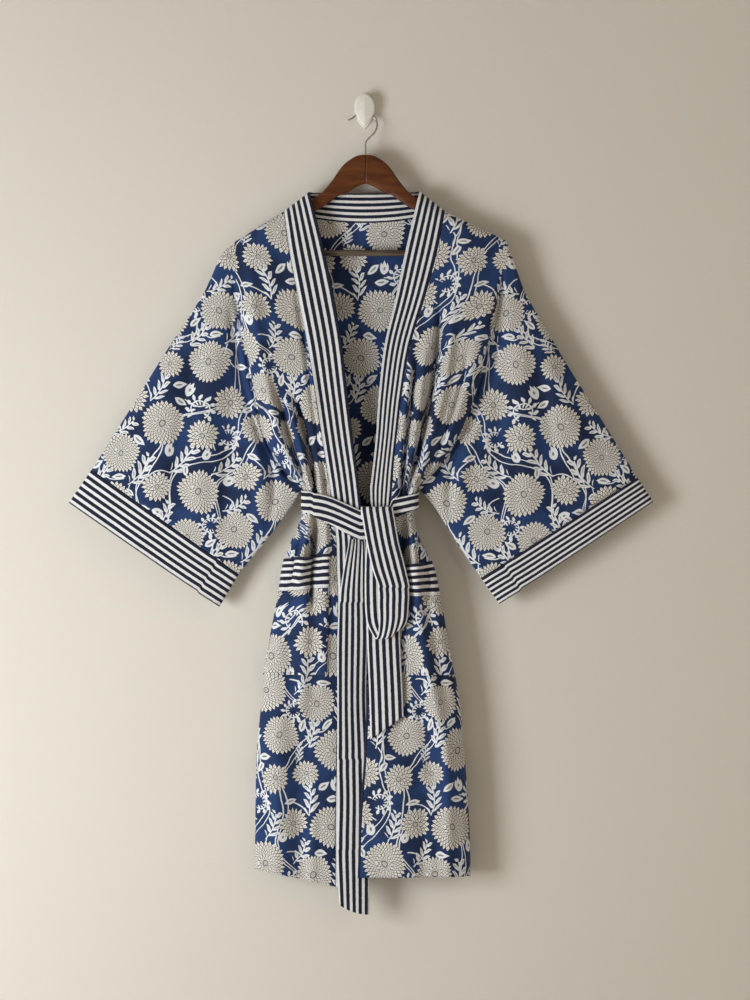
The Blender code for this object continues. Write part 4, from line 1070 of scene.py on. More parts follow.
def makePlastic():
    material, tree, shader = startMaterial("whitePlastic", 0.28)
    place = objectPlace(tree)
    clouds = addNoise(tree, place, 60.0, 3.0)[0]
    setInputs(tree, shader, {"Base Color": mixColour(tree, clouds, (0.84, 0.81, 0.73, 1), (0.92, 0.90, 0.83, 1)),
                             "Roughness": clouds.timesPlus(0.16, 0.20)})
    addBump(tree, shader, addNoise(tree, place, 900.0, 2.0)[0], 0.05, 0.0002)
    return material


printedCotton = makePrintedCotton()
stripedCotton = makeStripedCotton()
blueThread = makeThread("blueThread", (0.05, 0.09, 0.26, 1))
darkWood = makeWood()
greyWood = makeBarWood()
brightSteel = makeSteel()
whitePlastic = makePlastic()
print("materials made")


def finishMesh(name, bm, material, shade=True):
    mesh = bpy.data.meshes.new(name)
    bm.to_mesh(mesh)
    bm.free()
    if shade:
        mesh.shade_smooth()
    mesh.materials.append(material)
    obj = bpy.data.objects.new(name, mesh)
    scene.collection.objects.link(obj)
    return obj


def makeCloth(name, point, columns, rows, thick, material, place, closed=False):
    # A grid whose points follow the cloth, with flat cloth coordinates, then made a thin wall
    bm = bmesh.new()
    lastColumn = len(columns) - 1
    lastRow = len(rows) - 1
    bmesh.ops.create_grid(bm, x_segments=lastColumn, y_segments=lastRow, size=0.5)
    points = [[point(c, r) for c in columns] for r in rows]
    spots = place(points, columns, rows)
    uvLayer = bm.loops.layers.uv.new("clothUv")
    steps = {}
    for vert in bm.verts:
        steps[vert] = (round((vert.co.x + 0.5) * lastColumn), round((vert.co.y + 0.5) * lastRow))
    for face in bm.faces:
        behind = sum(steps[vert][0] for vert in face.verts) / 4 > lastColumn / 2
        for loop in face.loops:
            i, j = steps[loop.vert]
            spot = spots[j][i]
            loop[uvLayer].uv = spot[2:] if behind and len(spot) == 4 else spot[:2]
    for vert, (i, j) in steps.items():
        vert.co = points[j][i]
    if closed:
        bmesh.ops.remove_doubles(bm, verts=bm.verts, dist=0.00002)
    bmesh.ops.recalc_face_normals(bm, faces=bm.faces)
    obj = finishMesh(name, bm, material)
    wall = obj.modifiers.new("wall", "SOLIDIFY")
    wall.thickness = thick
    wall.offset = 0.0
    return obj


def lengthPlace(startU, home, direction=1.0):
    # Cloth coordinates of a panel: lengths across its rows, counted both ways from one column, and the height
    def place(points, columns, rows):
        spots = []
        middle = round(home * (len(columns) - 1))
        for line in points:
            steps = [math.hypot(b.x - a.x, b.y - a.y) for a, b in zip(line, line[1:])]
            us = [startU] * len(line)
            for i in range(middle + 1, len(line)):
                us[i] = us[i - 1] + direction * steps[i - 1]
            for i in range(middle - 1, -1, -1):
                us[i] = us[i + 1] - direction * steps[i]
            spots.append([(u, p.z) for u, p in zip(us, line)])
        return spots
    return place


def stripePlace(width, shift, flip=False, lengthwise="rows"):
    # Stripes run along the strip: U is the share across it, V its length
    def place(points, columns, rows):
        spots = []
        v = 0.0
        for j, line in enumerate(points):
            if j:
                v += (line[len(line) // 2] - points[j - 1][len(line) // 2]).length
            row = []
            w = 0.0
            for i, p in enumerate(line):
                if i:
                    w += (p - line[i - 1]).length
                share = columns[i] if lengthwise == "rows" else rows[j]
                share = 1 - share if flip else share
                row.append((share * width + shift * stripeCloth["pitch"], v if lengthwise == "rows" else w))
            spots.append(row)
        return spots
    return place


def sleevePlace(side, startU):
    # The sleeve is one cut folded at its top edge: across the sleeve from that fold, and down its axis
    end = sleeveCut["rightEnd" if side < 0 else "leftEnd"]
    across = Vector((end[1][0] - end[0][0], end[1][1] - end[0][1])).normalized()
    down = Vector((-across.y, across.x))
    if down.y > 0:
        down = -down

    def place(points, columns, rows):
        spots = []
        for line in points:
            top = across.dot(Vector((line[0].x, line[0].z)))
            row = []
            for p in line:
                flat = Vector((p.x, p.z))
                u = across.dot(flat)
                v = -down.dot(flat)
                row.append((startU + u, v, startU + 2 * top - u, v))
            spots.append(row)
        return spots
    return place


stripeCloth = {"pitch": 0.0110, "thick": 0.0016}
printedCloth = {"thick": 0.0011}


def denser(steps, count):
    # count steps placed as the given coarse ones are, so that tight turns keep more of them
    fine = []
    for k in range(count + 1):
        t = k / count * (len(steps) - 1)
        i = min(int(t), len(steps) - 2)
        fine.append(steps[i] + (steps[i + 1] - steps[i]) * (t - i))
    return fine


bodyGrid = {
    "rows": 260,
    "frontColumns": [0.0, 0.004, 0.015, 0.03, 0.06, 0.10, 0.16, 0.24, 0.32,
                     0.41, 0.50, 0.60, 0.70, 0.80, 0.90, 1.0],
    "frontCount": 96,
    "bandCount": 14,
    "leftBandColumns": [0.0, 0.03, 0.06, 0.09, 0.12, 0.15, 0.18, 0.25, 0.4, 0.6, 0.8, 1.0],
}
# The shoulder turns within a quarter row and the underarm closes within one, so rows are closer there
bodyRows = [0.0, 0.004, 0.012, 0.025, 0.05, 0.09, 0.14, 0.20, 0.27, 0.36, 0.5]
bodyRows += [0.5 + 5.7 * k / 90 for k in range(1, 91)]
bodyRows += [6.2 + 0.9 * k / 26 for k in range(1, 27)]
bodyRows += [7.1 + 8.9 * k / 150 for k in range(1, 151)]


def addPanels():
    pieces = []
    for side, word in sides:
        front = partial(frontPoint, side)
        band = partial(bandPoint, side)
        columns = denser(bodyGrid["frontColumns"], bodyGrid["frontCount"])
        startU = 0.06 if side < 0 else 0.13
        panel = makeCloth("front_panel_" + word, front, columns, bodyRows, printedCloth["thick"],
                          printedCotton, lengthPlace(startU, 1.0, -side))
        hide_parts("front_panel_" + word, "front_skirt_" + word)
        bandColumns = spaced(bodyGrid["bandCount"])
        if side > 0:
            bandColumns = denser(bodyGrid["leftBandColumns"], 33)
        strip = makeCloth("neck_band_" + word, band, bandColumns, bodyRows, stripeCloth["thick"],
                          stripedCotton, stripePlace(robeCut["bandWidth"], 0.5 if side < 0 else 0.0))
        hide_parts("neck_band_" + word)
        pieces += [panel, strip]
    return pieces


def addBack():
    outer, span, clear = robeCut["shoulder"][-1], robeCut["shoulderSpan"], 0.0006
    neckLeft = (robeCut["neckHalf"] + clear + outer) / span
    neckRight = (outer - robeCut["neckHalf"] - clear) / span
    columns = [neckRight * f for f in (0.0, 0.003, 0.02, 0.05, 0.09, 0.14, 0.22, 0.3, 0.4, 0.52, 0.64, 0.76, 0.88)]
    columns += [neckRight + (neckLeft - neckRight) * f
                for f in [0.0, 0.006, 0.012, 0.025, 0.04] + [0.04 + 0.92 * k / 60 for k in range(1, 61)]
                + [0.975, 0.988, 0.994]]
    columns += [neckLeft + (1 - neckLeft) * f
                for f in (0.0, 0.12, 0.24, 0.36, 0.48, 0.6, 0.7, 0.78, 0.86, 0.91, 0.95, 0.98, 0.997, 1.0)]
    panel = makeCloth("back_panel", backPoint, columns, bodyRows, printedCloth["thick"], printedCotton,
                      lengthPlace(0.02, 0.5))
    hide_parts("back_panel", "back_skirt")
    columns = denser([0.0, 0.012, 0.04, 0.12, 0.5, 0.88, 0.96, 0.988, 1.0], 96)
    strip = makeCloth("neck_band_back", neckBackPoint, columns, spaced(16), stripeCloth["thick"], stripedCotton,
                      stripePlace(robeCut["bandWidth"], 0.25, lengthwise="columns"))
    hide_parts("neck_band_back")
    return [panel, strip]


def addSleeves():
    pieces = []
    ringCount = 168
    steps = [0.0, 0.01, 0.025, 0.045] + [0.045 + 0.955 * k / 84 for k in range(1, 85)]
    for side, word in sides:
        def sleeve(r, v, side=side):
            return sleevePoint(side, 0.0 if r == 1.0 else r, v)

        def cuff(r, v, side=side):
            return cuffPoint(side, 0.0 if r == 1.0 else r, v)

        tube = makeCloth("sleeve_" + word, sleeve, spaced(ringCount), steps, printedCloth["thick"],
                         printedCotton, sleevePlace(side, 0.03), closed=True)
        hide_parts("sleeve_" + word)
        ring = makeCloth("cuff_" + word, cuff, spaced(ringCount), spaced(14), stripeCloth["thick"], stripedCotton,
                         stripePlace(sleeveCut["cuffWidth"], 0.0, lengthwise="columns"), closed=True)
        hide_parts("cuff_" + word)
        pieces += [tube, ring]
    return pieces


# rows of the outline at the outer and the inner end, and shares across the panel
pocketCut = {
    "right": {"top": (9.80, 9.55), "seam": (10.77, 10.66), "across": (-0.04, 0.84)},
    "left": {"top": (9.86, 9.98), "seam": (10.88, 10.88), "across": (0.02, 0.56)},
    "end": 12.5,
    "gape": 0.004,
}


def pocketRows(word, u):
    # Where the mouth and the band's seam lie at a share across the panel
    cut = pocketCut[word]
    share = max(0.0, min(1.0, (u - cut["across"][0]) / (cut["across"][1] - cut["across"][0])))
    return [cut[name][0] + (cut[name][1] - cut[name][0]) * share for name in ("top", "seam")]


def pocketBag(side, word, u, t):
    return pocketPoint(side, u, t, pocketRows(word, u)[1] + 0.006, pocketCut["end"], 0.0024, 0.0)


def pocketMouth(side, word, u, t):
    first, last = pocketCut[word]["across"]
    top, seam = pocketRows(word, u)
    gape = pocketCut["gape"] * math.sin(math.pi * max(0.0, min(1.0, (u - first) / (last - first))))
    return pocketPoint(side, u, t, top, seam, 0.0026, gape)


def addPockets():
    pieces = []
    for side, word in sides:
        u0, u1 = pocketCut[word]["across"]

        pocket = partial(pocketBag, side, word)
        mouth = partial(pocketMouth, side, word)
        across = [u0 + (u1 - u0) * k / 40 for k in range(41)]
        startU = 0.155 if side < 0 else 0.055
        bag = makeCloth("pocket_" + word, pocket, across, spaced(60), printedCloth["thick"], printedCotton,
                        lengthPlace(startU, 1.0, -side))
        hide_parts("pocket_" + word)
        strip = makeCloth("pocket_band_" + word, mouth, across, spaced(28), stripeCloth["thick"], stripedCotton,
                          stripePlace(robeCut["bandWidth"], 0.0, lengthwise="columns"))
        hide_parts("pocket_band_" + word)
        pieces += [bag, strip]
    return pieces


# The belt: a ring round the waist, one long strand that makes the knot's top and the loop, and two tails
beltCut = {
    "thick": 0.0018,
    "width": 0.055,
    # name, height of its middle, width, at equal shares from the knot round the right side and the back
    "wrap": inMetres([
        ("knot", -7266, 540), ("rightFront", -6965, 460),
        ("rightSide", -6810, 320), ("backRight", -6900, 460),
        ("backMiddle", -6920, 520), ("backLeft", -6910, 480),
        ("leftSide", -6800, 250), ("leftFront", -6955, 330),
        ("knotEnd", -7120, 400),
    ], (10000,) * 2),
    # name, height, left X, right X, Y
    "loop": inMetres([
        ("under", -7160, -60, 480, -692), ("foldBack", -7000, -62, 495, -698),
        ("foldTop", -6945, -61, 497, -722), ("foldFront", -7000, -58, 500, -748),
        ("knot", -7220, -25, 540, -775), ("swell", -7570, 38, 602, -797),
        ("aboveCrease", -7980, 127, 707, -828), ("crease", -8340, 236, 777, -848),
        ("belly", -8660, 244, 768, -850), ("turnFront", -8920, 253, 742, -843),
        ("tipFront", -9140, 235, 670, -825), ("tip", -9225, 190, 630, -790),
        ("tipBack", -9140, 130, 610, -757), ("turnBack", -8940, 40, 590, -744),
        ("backLow", -8600, 10, 570, -739), ("back", -8000, 10, 540, -735),
        ("backTop", -7450, 40, 480, -733),
    ], (10000,) * 4),
    "longTail": inMetres([
        ("knot", -7502, -260, 5, -650), ("leave", -7650, -285, 20, -648),
        ("spread", -8080, -370, 30, -632), ("crease", -8570, -440, 40, -604),
        ("upper", -9270, -470, 50, -584), ("middle", -10310, -470, 30, -570),
        ("fold", -11330, -470, 80, -560), ("lower", -12060, -455, 95, -558),
        ("calf", -12930, -475, 90, -556), ("hem", -13450, -460, 85, -556),
        ("end", -14040, -440, 80, -540),
    ], (10000,) * 4),
    "shortTail": inMetres([
        ("knot", -7425, 80, 480, -694), ("behindLoop", -8000, 70, 560, -695),
        ("hip", -8650, 40, 600, -696), ("clear", -9250, 45, 620, -700),
        ("low", -10100, 80, 650, -712), ("end", -10980, 105, 680, -715),
    ], (10000,) * 4),
    "wrapCrease": 0.171,
    # shares of the ring's length where the wrap starts and how much of it there is, behind the knot
    "wrapRun": (-0.026, 0.946),
    # share where its end dives under the knot, over what share, and how deep
    "dive": (0.880, 0.020, 0.016),
    "ring": {"middle": (-0.0080, -0.0365), "halfWide": 0.1018, "frontDeep": 0.0285, "backDeep": 0.0290, "boxy": 0.30},
    # name, height, depth of the ironed crease, sideways jog
    "longCreases": [("upper", -0.860, 0.0020, 0.0020), ("lower", -1.133, 0.0018, -0.0020),
                    ("low", -1.290, 0.0010, 0.0010)],
    "loopCreases": [("crease", -0.834, 0.0024, 0.0024)],
}


def ironed(point, creases):
    # A crease pressed across a strip: the cloth dips and its stripes jog there
    for name, z, depth, shift in creases:
        d = (point.z - z) / 0.0035
        point.y += depth * math.exp(-d * d)
        point.x += jog(shift, d, 0.35) * 0.5
    return point


def stripPoint(rows, c, f, bulge=0.0):
    t = f * (len(rows) - 1)
    left = atRow(rows, 2, t)
    right = atRow(rows, 3, t)
    y = atRow(rows, 4, t) - bulge * math.sin(math.pi * c)
    return Vector((left + (right - left) * c, y, atRow(rows, 1, t)))


def makeBeltRing():
    # Boxy oval round the waist, as points with the share of its length
    shape = beltCut["ring"]
    count = 1440
    points = []
    for k in range(count + 1):
        angle = 2 * math.pi * k / count
        sx = -math.sin(angle)
        cy = math.cos(angle)
        deep = shape["frontDeep" if cy > 0 else "backDeep"]
        x = shape["middle"][0] + shape["halfWide"] * math.copysign(abs(sx) ** shape["boxy"], sx)
        y = shape["middle"][1] - deep * math.copysign(abs(cy) ** shape["boxy"], cy)
        points.append((x, y))
    lengths = [0.0]
    for k in range(1, len(points)):
        step = math.hypot(points[k][0] - points[k - 1][0], points[k][1] - points[k - 1][1])
        lengths.append(lengths[-1] + step)
    return points, [v / lengths[-1] for v in lengths]


beltRing, beltShares = makeBeltRing()


def beltPoint(c, s):
    low = 0
    high = len(beltShares) - 1
    while high - low > 1:
        k = (low + high) // 2
        low, high = (k, high) if beltShares[k] <= s else (low, k)
    f = (s - beltShares[low]) / max(1e-9, beltShares[high] - beltShares[low])
    x = beltRing[low][0] + (beltRing[high][0] - beltRing[low][0]) * f
    y = beltRing[low][1] + (beltRing[high][1] - beltRing[low][1]) * f
    middle = atRow(beltCut["wrap"], 1, s * 8)
    tall = atRow(beltCut["wrap"], 2, s * 8)
    diveAt, diveOver, diveDeep = beltCut["dive"]
    z = middle + (c - 0.5) * tall - diveDeep * smooth((s - diveAt) / diveOver)
    middleX, middleY = beltCut["ring"]["middle"]
    out = Vector((x - middleX, y - middleY)).normalized()
    near = math.exp(-(s / 0.10) ** 2) + math.exp(-((s - 0.92) / 0.06) ** 2)
    ripple = 0.0007 * math.sin(c * 17 + s * 30) * near + 0.0006 * noise.noise(Vector((s * 22, c * 2, 4)))
    away = (s - beltCut["wrapCrease"]) / 0.008
    ripple -= 0.0016 * math.exp(-away * away)
    z += jog(0.0016, away, 0.4)
    return Vector((x + out.x * ripple, y + out.y * ripple, z))


def wrapPlace(points, columns, rows):
    # The strip is partly folded round the waist, so its stripes keep their width from the top edge down
    spots = []
    v = 0.0
    for j, line in enumerate(points):
        if j:
            v += (line[-1] - points[j - 1][-1]).length
        down = [(line[-1] - p).length * 0.92 for p in line]
        spots.append([(0.76 * stripeCloth["pitch"] - d, v) for d in down])
    return spots


def addBelt():
    stripes = stripePlace(beltCut["width"], 0.75)
    thick = beltCut["thick"]

    def wrap(c, s):
        first, run = beltCut["wrapRun"]
        return beltPoint(c, first + run * s)

    def loop(c, f):
        point = stripPoint(beltCut["loop"], c, f, 0.0016)
        point.z += 0.017 * smooth((c - 0.35) / 0.65) ** 1.5 * math.exp(-((f - 0.6875) / 0.085) ** 2)
        point.y += 0.0004 * math.sin(c * 13 + f * 9)
        return ironed(point, beltCut["loopCreases"]) if f < 0.62 else point

    def longTail(c, f):
        point = stripPoint(beltCut["longTail"], c, f, 0.0008)
        point.z += 0.0175 * (1 - c) ** 2 * smooth((f - 0.88) / 0.12)
        point.y -= 0.0090 * (1 - c) * smooth((f - 0.15) / 0.35)
        gather = 0.0030 * math.exp(-((f - 0.02) / 0.16) ** 2)
        point.y += gather * math.cos(c * 15.5 + 0.6) + 0.0006 * noise.noise(Vector((c * 1.5, f * 16, 2)))
        return ironed(point, beltCut["longCreases"])

    def shortTail(c, f):
        point = stripPoint(beltCut["shortTail"], c, f, 0.0008)
        point.z += 0.040 * c * smooth((f - 0.6) / 0.4)
        point.y += 0.0005 * noise.noise(Vector((c * 1.5, f * 12, 8)))
        return point

    ring = makeCloth("belt_wrap", wrap, spaced(18), spaced(360), thick, stripedCotton, wrapPlace)
    strand = makeCloth("belt_loop", loop, spaced(20), spaced(260), thick, stripedCotton, stripes)
    tail = makeCloth("belt_tail_long", longTail, spaced(22), spaced(260), thick, stripedCotton, stripes)
    end = makeCloth("belt_tail_short", shortTail, spaced(20), spaced(150), thick, stripedCotton, stripes)
    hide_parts("belt_wrap")
    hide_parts("belt_knot", "belt_loop")
    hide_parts("belt_tail_long")
    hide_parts("belt_tail_short")
    return [ring, strand, tail, end]


# Wooden hanger and its wire
hangerCut = {
    "middleX": 0.0018,
    "middleY": -0.0300,
    "halfDepth": 0.0063,
    "barRadius": 0.0053,
    "barHeight": -0.2505,
    "barLength": 0.3676,
    "wireRadius": 0.0016,
    # name, distance from the middle, top, bottom
    "arm": inMetres([
        ("seam", 0, -785, -1290), ("crown", 100, -793, -1325),
        ("neck", 190, -822, -1370), ("slope", 340, -920, -1460),
        ("dip", 460, -1050, -1495), ("bend", 590, -1240, -1585),
        ("shoulder", 780, -1460, -1715), ("run1", 1050, -1628, -1860),
        ("run2", 1400, -1815, -2040), ("run3", 1800, -2040, -2300),
        ("lobe", 1860, -2085, -2570), ("lobeEnd", 2020, -2190, -2570),
        ("end", 2120, -2290, -2500),
    ], (10000,) * 3),
    "wire": [
        (0.0020, -0.0300, -0.0792), (0.0020, -0.0290, -0.0680), (0.0022, -0.0270, -0.0580),
        (0.0060, -0.0245, -0.0510), (0.0115, -0.0220, -0.0455), (0.0165, -0.0190, -0.0400),
        (0.0205, -0.0160, -0.0330), (0.0222, -0.0130, -0.0260), (0.0215, -0.0110, -0.0195),
        (0.0190, -0.0100, -0.0140), (0.0145, -0.0097, -0.0090), (0.0085, -0.0096, -0.0055),
        (0.0020, -0.0096, -0.0036), (-0.0040, -0.0096, -0.0032), (-0.0100, -0.0096, -0.0045),
        (-0.0155, -0.0098, -0.0080), (-0.0200, -0.0102, -0.0120), (-0.0250, -0.0110, -0.0150),
        (-0.0290, -0.0120, -0.0162),
    ],
}


def addHangerArm(side, word):
    # Rings along the arm, joined by bridging; the sections are soft oblongs
    rows = hangerCut["arm"]
    steps = 96
    ringSize = 40
    bm = bmesh.new()
    rings = []
    for k in range(steps + 1):
        t = (len(rows) - 1) * (k / steps) ** 1.25
        x = max(0.0, atRow(rows, 1, t)) - 0.0002
        top = atRow(rows, 2, t)
        low = atRow(rows, 3, t)
        rounded = 1 - 0.14 * math.exp(-(x / 0.0011) ** 2)
        halfY = (hangerCut["halfDepth"] - 0.0006 * k / steps) * rounded
        shape = bmesh.ops.create_circle(bm, cap_ends=False, segments=ringSize, radius=1.0)["verts"]
        for vert in shape:
            cy, cz = vert.co.x, vert.co.y
            y = hangerCut["middleY"] + halfY * math.copysign(abs(cy) ** 0.72, cy)
            z = (top + low) / 2 + (top - low) / 2 * math.copysign(abs(cz) ** 0.72, cz)
            vert.co = (side * x + hangerCut["middleX"], y, z)
        rings.append(list({edge for vert in shape for edge in vert.link_edges}))
    for k in range(steps):
        bmesh.ops.bridge_loops(bm, edges=rings[k] + rings[k + 1])
    bmesh.ops.holes_fill(bm, edges=[edge for edge in bm.edges if edge.is_boundary], sides=0)
    bmesh.ops.recalc_face_normals(bm, faces=bm.faces)
    arm = finishMesh("hanger_arm_" + word, bm, darkWood)
    arm.data.set_sharp_from_angle(angle=math.radians(60))
    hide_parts("hanger_arm_" + word)
    return arm


def addHangerBar():
    bm = bmesh.new()
    turn = Matrix.Rotation(math.pi / 2, 4, "Y")
    place = Matrix.Translation((hangerCut["middleX"], hangerCut["middleY"], hangerCut["barHeight"]))
    radius = hangerCut["barRadius"]
    bmesh.ops.create_cone(bm, cap_ends=True, segments=40, radius1=radius, radius2=radius,
                          depth=hangerCut["barLength"], matrix=place @ turn)
    rims = [edge for edge in bm.edges if abs(edge.verts[0].co.x - edge.verts[1].co.x) < 1e-6]
    bmesh.ops.bevel(bm, geom=rims, offset=0.0005, affect="EDGES", segments=2, profile=0.5, material=-1)
    bar = finishMesh("hanger_bar", bm, greyWood)
    bar.data.set_sharp_from_angle(angle=math.radians(40))
    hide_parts("hanger_bar")
    return bar


def addWire():
    curve = bpy.data.curves.new("hangerWirePath", "CURVE")
    curve.dimensions = "3D"
    curve.bevel_depth = hangerCut["wireRadius"]
    curve.bevel_resolution = 5
    curve.use_fill_caps = True
    spline = curve.splines.new("POLY")
    steps = 110
    spline.points.add(steps)
    for k in range(steps + 1):
        x, y, z = alongPath(hangerCut["wire"], k / steps)
        spline.points[k].co = (x, y, z, 1)
    path = bpy.data.objects.new("hangerWirePath", curve)
    scene.collection.objects.link(path)
    bpy.context.view_layer.update()
    bm = bmesh.new()
    bm.from_mesh(path.evaluated_get(bpy.context.evaluated_depsgraph_get()).to_mesh())
    bpy.data.objects.remove(path)
    bmesh.ops.remove_doubles(bm, verts=bm.verts, dist=0.00001)
    bmesh.ops.recalc_face_normals(bm, faces=bm.faces)
    wire = finishMesh("hanger_hook", bm, brightSteel)
    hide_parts("hanger_hook")
    return wire


# Wall hook: a back leaf, a front leaf and the cradle between them
leafHook = {
    "tall": 0.0620, "broadAt": 0.56, "halfWide": 0.0186, "ridge": 0.0035,
    "backDeep": 0.0025, "gapDeep": 0.0150, "frontDeep": 0.0178,
    "cradle": (0.0060, 0.0145, 0.0142), "cradleAt": (0.0, -0.0088, -0.0128),
}


def leafHalfWidth(f):
    # Pointed below, rounder above
    broad = leafHook["broadAt"]
    if f < broad:
        return leafHook["halfWide"] * math.sin(math.pi / 2 * f / broad) ** 0.85
    return leafHook["halfWide"] * (1 - ((f - broad) / (1 - broad)) ** 2.3) ** 0.5


def addLeafBody(bm, y0, y1, ridge, size):
    # A pointed oval plate between two depths, rounded at its rim, with a ridge down the middle
    across = 24
    down = 72
    grid = bmesh.ops.create_grid(bm, x_segments=across, y_segments=down, size=0.5)["verts"]
    for vert in grid:
        f = min(0.9995, max(0.0005, vert.co.y + 0.5))
        share = vert.co.x * 2
        half = max(leafHalfWidth(f), 0.0003)
        dome = math.sqrt(max(0.0, 1 - abs(share) ** 6))
        rise = ridge * math.sin(math.pi * f) * (1 - abs(share)) ** 1.1
        vert.co = (half * share * size, y1 - rise - 0.0008 * (dome - 1), leafHook["tall"] * (f - 0.5) * size)
    faces = list({face for vert in grid for face in vert.link_faces})
    extruded = bmesh.ops.extrude_face_region(bm, geom=faces)["geom"]
    for vert in [item for item in extruded if isinstance(item, bmesh.types.BMVert)]:
        vert.co.y = y0
    return extruded


def addWallHook():
    parts = []
    for word, y0, y1, ridge, size in (("back", 0.0, -leafHook["backDeep"], 0.0, 1.0),
                                      ("front", -leafHook["gapDeep"], -leafHook["frontDeep"], leafHook["ridge"], 0.90)):
        bm = bmesh.new()
        addLeafBody(bm, y0, y1, ridge, size)
        bmesh.ops.recalc_face_normals(bm, faces=bm.faces)
        parts.append(finishMesh("leaf" + word, bm, whitePlastic))
    bm = bmesh.new()
    place = Matrix.Translation(leafHook["cradleAt"]) @ Matrix.Diagonal((*leafHook["cradle"], 1.0))
    bmesh.ops.create_cube(bm, size=1.0, matrix=place)
    upright = [edge for edge in bm.edges if abs(edge.verts[0].co.y - edge.verts[1].co.y) > 0.001]
    bmesh.ops.bevel(bm, geom=upright, offset=0.0015, affect="EDGES", segments=3, profile=0.5, material=-1)
    parts.append(finishMesh("leafCradle", bm, whitePlastic))
    hook = parts[0]
    hook.name = "wall_hook_leaf"
    for other in parts[1:]:
        join = hook.modifiers.new("join", "BOOLEAN")
        join.operation = "UNION"
        join.solver = "EXACT"
        join.object = other
    bpy.context.view_layer.update()
    made = bpy.data.meshes.new_from_object(hook.evaluated_get(bpy.context.evaluated_depsgraph_get()))
    hook.modifiers.clear()
    hook.data = made
    for other in parts[1:]:
        bpy.data.objects.remove(other)
    made.shade_smooth()
    made.set_sharp_from_angle(angle=math.radians(50))
    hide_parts("wall_hook")
    return hook


# Sewing: rows of short stitches just above the cloth
sewing = {"pitch": 0.0034, "length": 0.0024, "radius": 0.00028, "lift": 0.0001}


def addStitches(name, lines, material):
    # lines hold (points, outward directions); each stitch is a small six sided grain
    bm = bmesh.new()
    for points, outs in lines:
        travelled = 0.0
        mark = 0.0
        for k in range(1, len(points)):
            step = points[k] - points[k - 1]
            length = step.length
            if length < 1e-7:
                continue
            while mark <= travelled + length:
                f = (mark - travelled) / length
                centre = points[k - 1] + step * f + outs[k] * (sewing["radius"] * 0.4 + sewing["lift"])
                ahead = step.normalized()
                out = (outs[k] - ahead * outs[k].dot(ahead)).normalized()
                sideways = ahead.cross(out)
                turn = Matrix((ahead, out, sideways)).transposed().to_4x4()
                grain = Matrix.Diagonal((sewing["length"], sewing["radius"] * 2, sewing["radius"] * 2, 1.0))
                place = Matrix.Translation(centre) @ turn @ grain
                bmesh.ops.create_icosphere(bm, subdivisions=1, radius=0.5, matrix=place)
                mark += sewing["pitch"]
            travelled += length
    return finishMesh(name, bm, material)


def seamLine(point, steps, thick, front=-1.0):
    # The points of a seam on the cloth's outer face, with the way out from the cloth
    points = []
    outs = []
    for value in steps:
        here, along, across = point(value)
        out = along.cross(across)
        if out.length < 1e-12:
            out = Vector((0, front, 0))
        out.normalize()
        if out.y * front < 0:
            out = -out
        points.append(here + out * thick / 2)
        outs.append(out)
    return points, outs


def surfaceLine(surface, start, end, count, thick, front=-1.0):
    # A straight line in a surface's own two numbers, from start to end
    def at(f):
        return [a + (b - a) * f for a, b in zip(start, end)]

    def sample(f):
        a, b = at(min(0.999, max(0.001, f)))
        alongA = surface(a + 0.002, b) - surface(a - 0.002, b)
        alongB = surface(a, b + 0.002) - surface(a, b - 0.002)
        return surface(*at(f)), alongA, alongB
    return seamLine(sample, spaced(count), thick, front)


def addSewing():
    print("sewing")
    hemRow = 15.88
    blue = []
    for side in (-1, 1):
        band = partial(bandPoint, side)
        front = partial(frontPoint, side)
        lastRow = 16.0 if side < 0 else 9.0
        blue.append(surfaceLine(band, (0.035, 0.3), (0.035, 15.95), 420, stripeCloth["thick"]))
        blue.append(surfaceLine(band, (0.965, 0.3), (0.965, lastRow), 420, stripeCloth["thick"]))
        blue.append(surfaceLine(front, (0.06, hemRow), (0.985, hemRow), 90, printedCloth["thick"]))

        cuff = partial(cuffPoint, side)
        for v in (0.04, 0.955):
            blue.append(surfaceLine(cuff, (0.02, v), (0.48, v), 160, stripeCloth["thick"]))
            blue.append(surfaceLine(cuff, (0.98, v), (0.52, v), 160, stripeCloth["thick"], 1.0))
    blue.append(surfaceLine(backPoint, (0.05, hemRow), (0.95, hemRow), 220, printedCloth["thick"], 1.0))
    return [addStitches("seam_stitches", blue, blueThread)]


def addPocketSewing():
    lines = []
    for side, word in sides:
        u0, u1 = pocketCut[word]["across"]

        mouth = partial(pocketMouth, side, word)
        pocket = partial(pocketBag, side, word)
        inset = 0.012
        for t in (0.04, 0.96):
            lines.append(surfaceLine(mouth, (u0 + inset, t), (u1 - inset, t), 60, stripeCloth["thick"]))
        lines.append(surfaceLine(mouth, (u1 - inset, 0.04), (u1 - inset, 0.96), 40, stripeCloth["thick"]))
        lines.append(surfaceLine(pocket, (u1 - inset, 0.02), (u1 - inset, 0.97), 90, printedCloth["thick"]))
        lines.append(surfaceLine(pocket, (u0 + inset, 0.975), (u1 - inset, 0.975), 60, printedCloth["thick"]))
    return [addStitches("pocket_stitches", lines, blueThread)]


panels = addPanels()
backs = addBack()
print("body made")
sleeves = addSleeves()
print("sleeves made")
pockets = addPockets()
belts = addBelt()
print("pockets and belt made")
woods = [addHangerArm(side, word) for side, word in sides] + [addHangerBar()]
wire = addWire()
wallHook = addWallHook()
stitches = addSewing() + addPocketSewing()
print("hanger, hook and sewing made")

for piece in panels + backs + sleeves + pockets + belts + woods + [wire, wallHook] + stitches:
    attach(piece, "root")


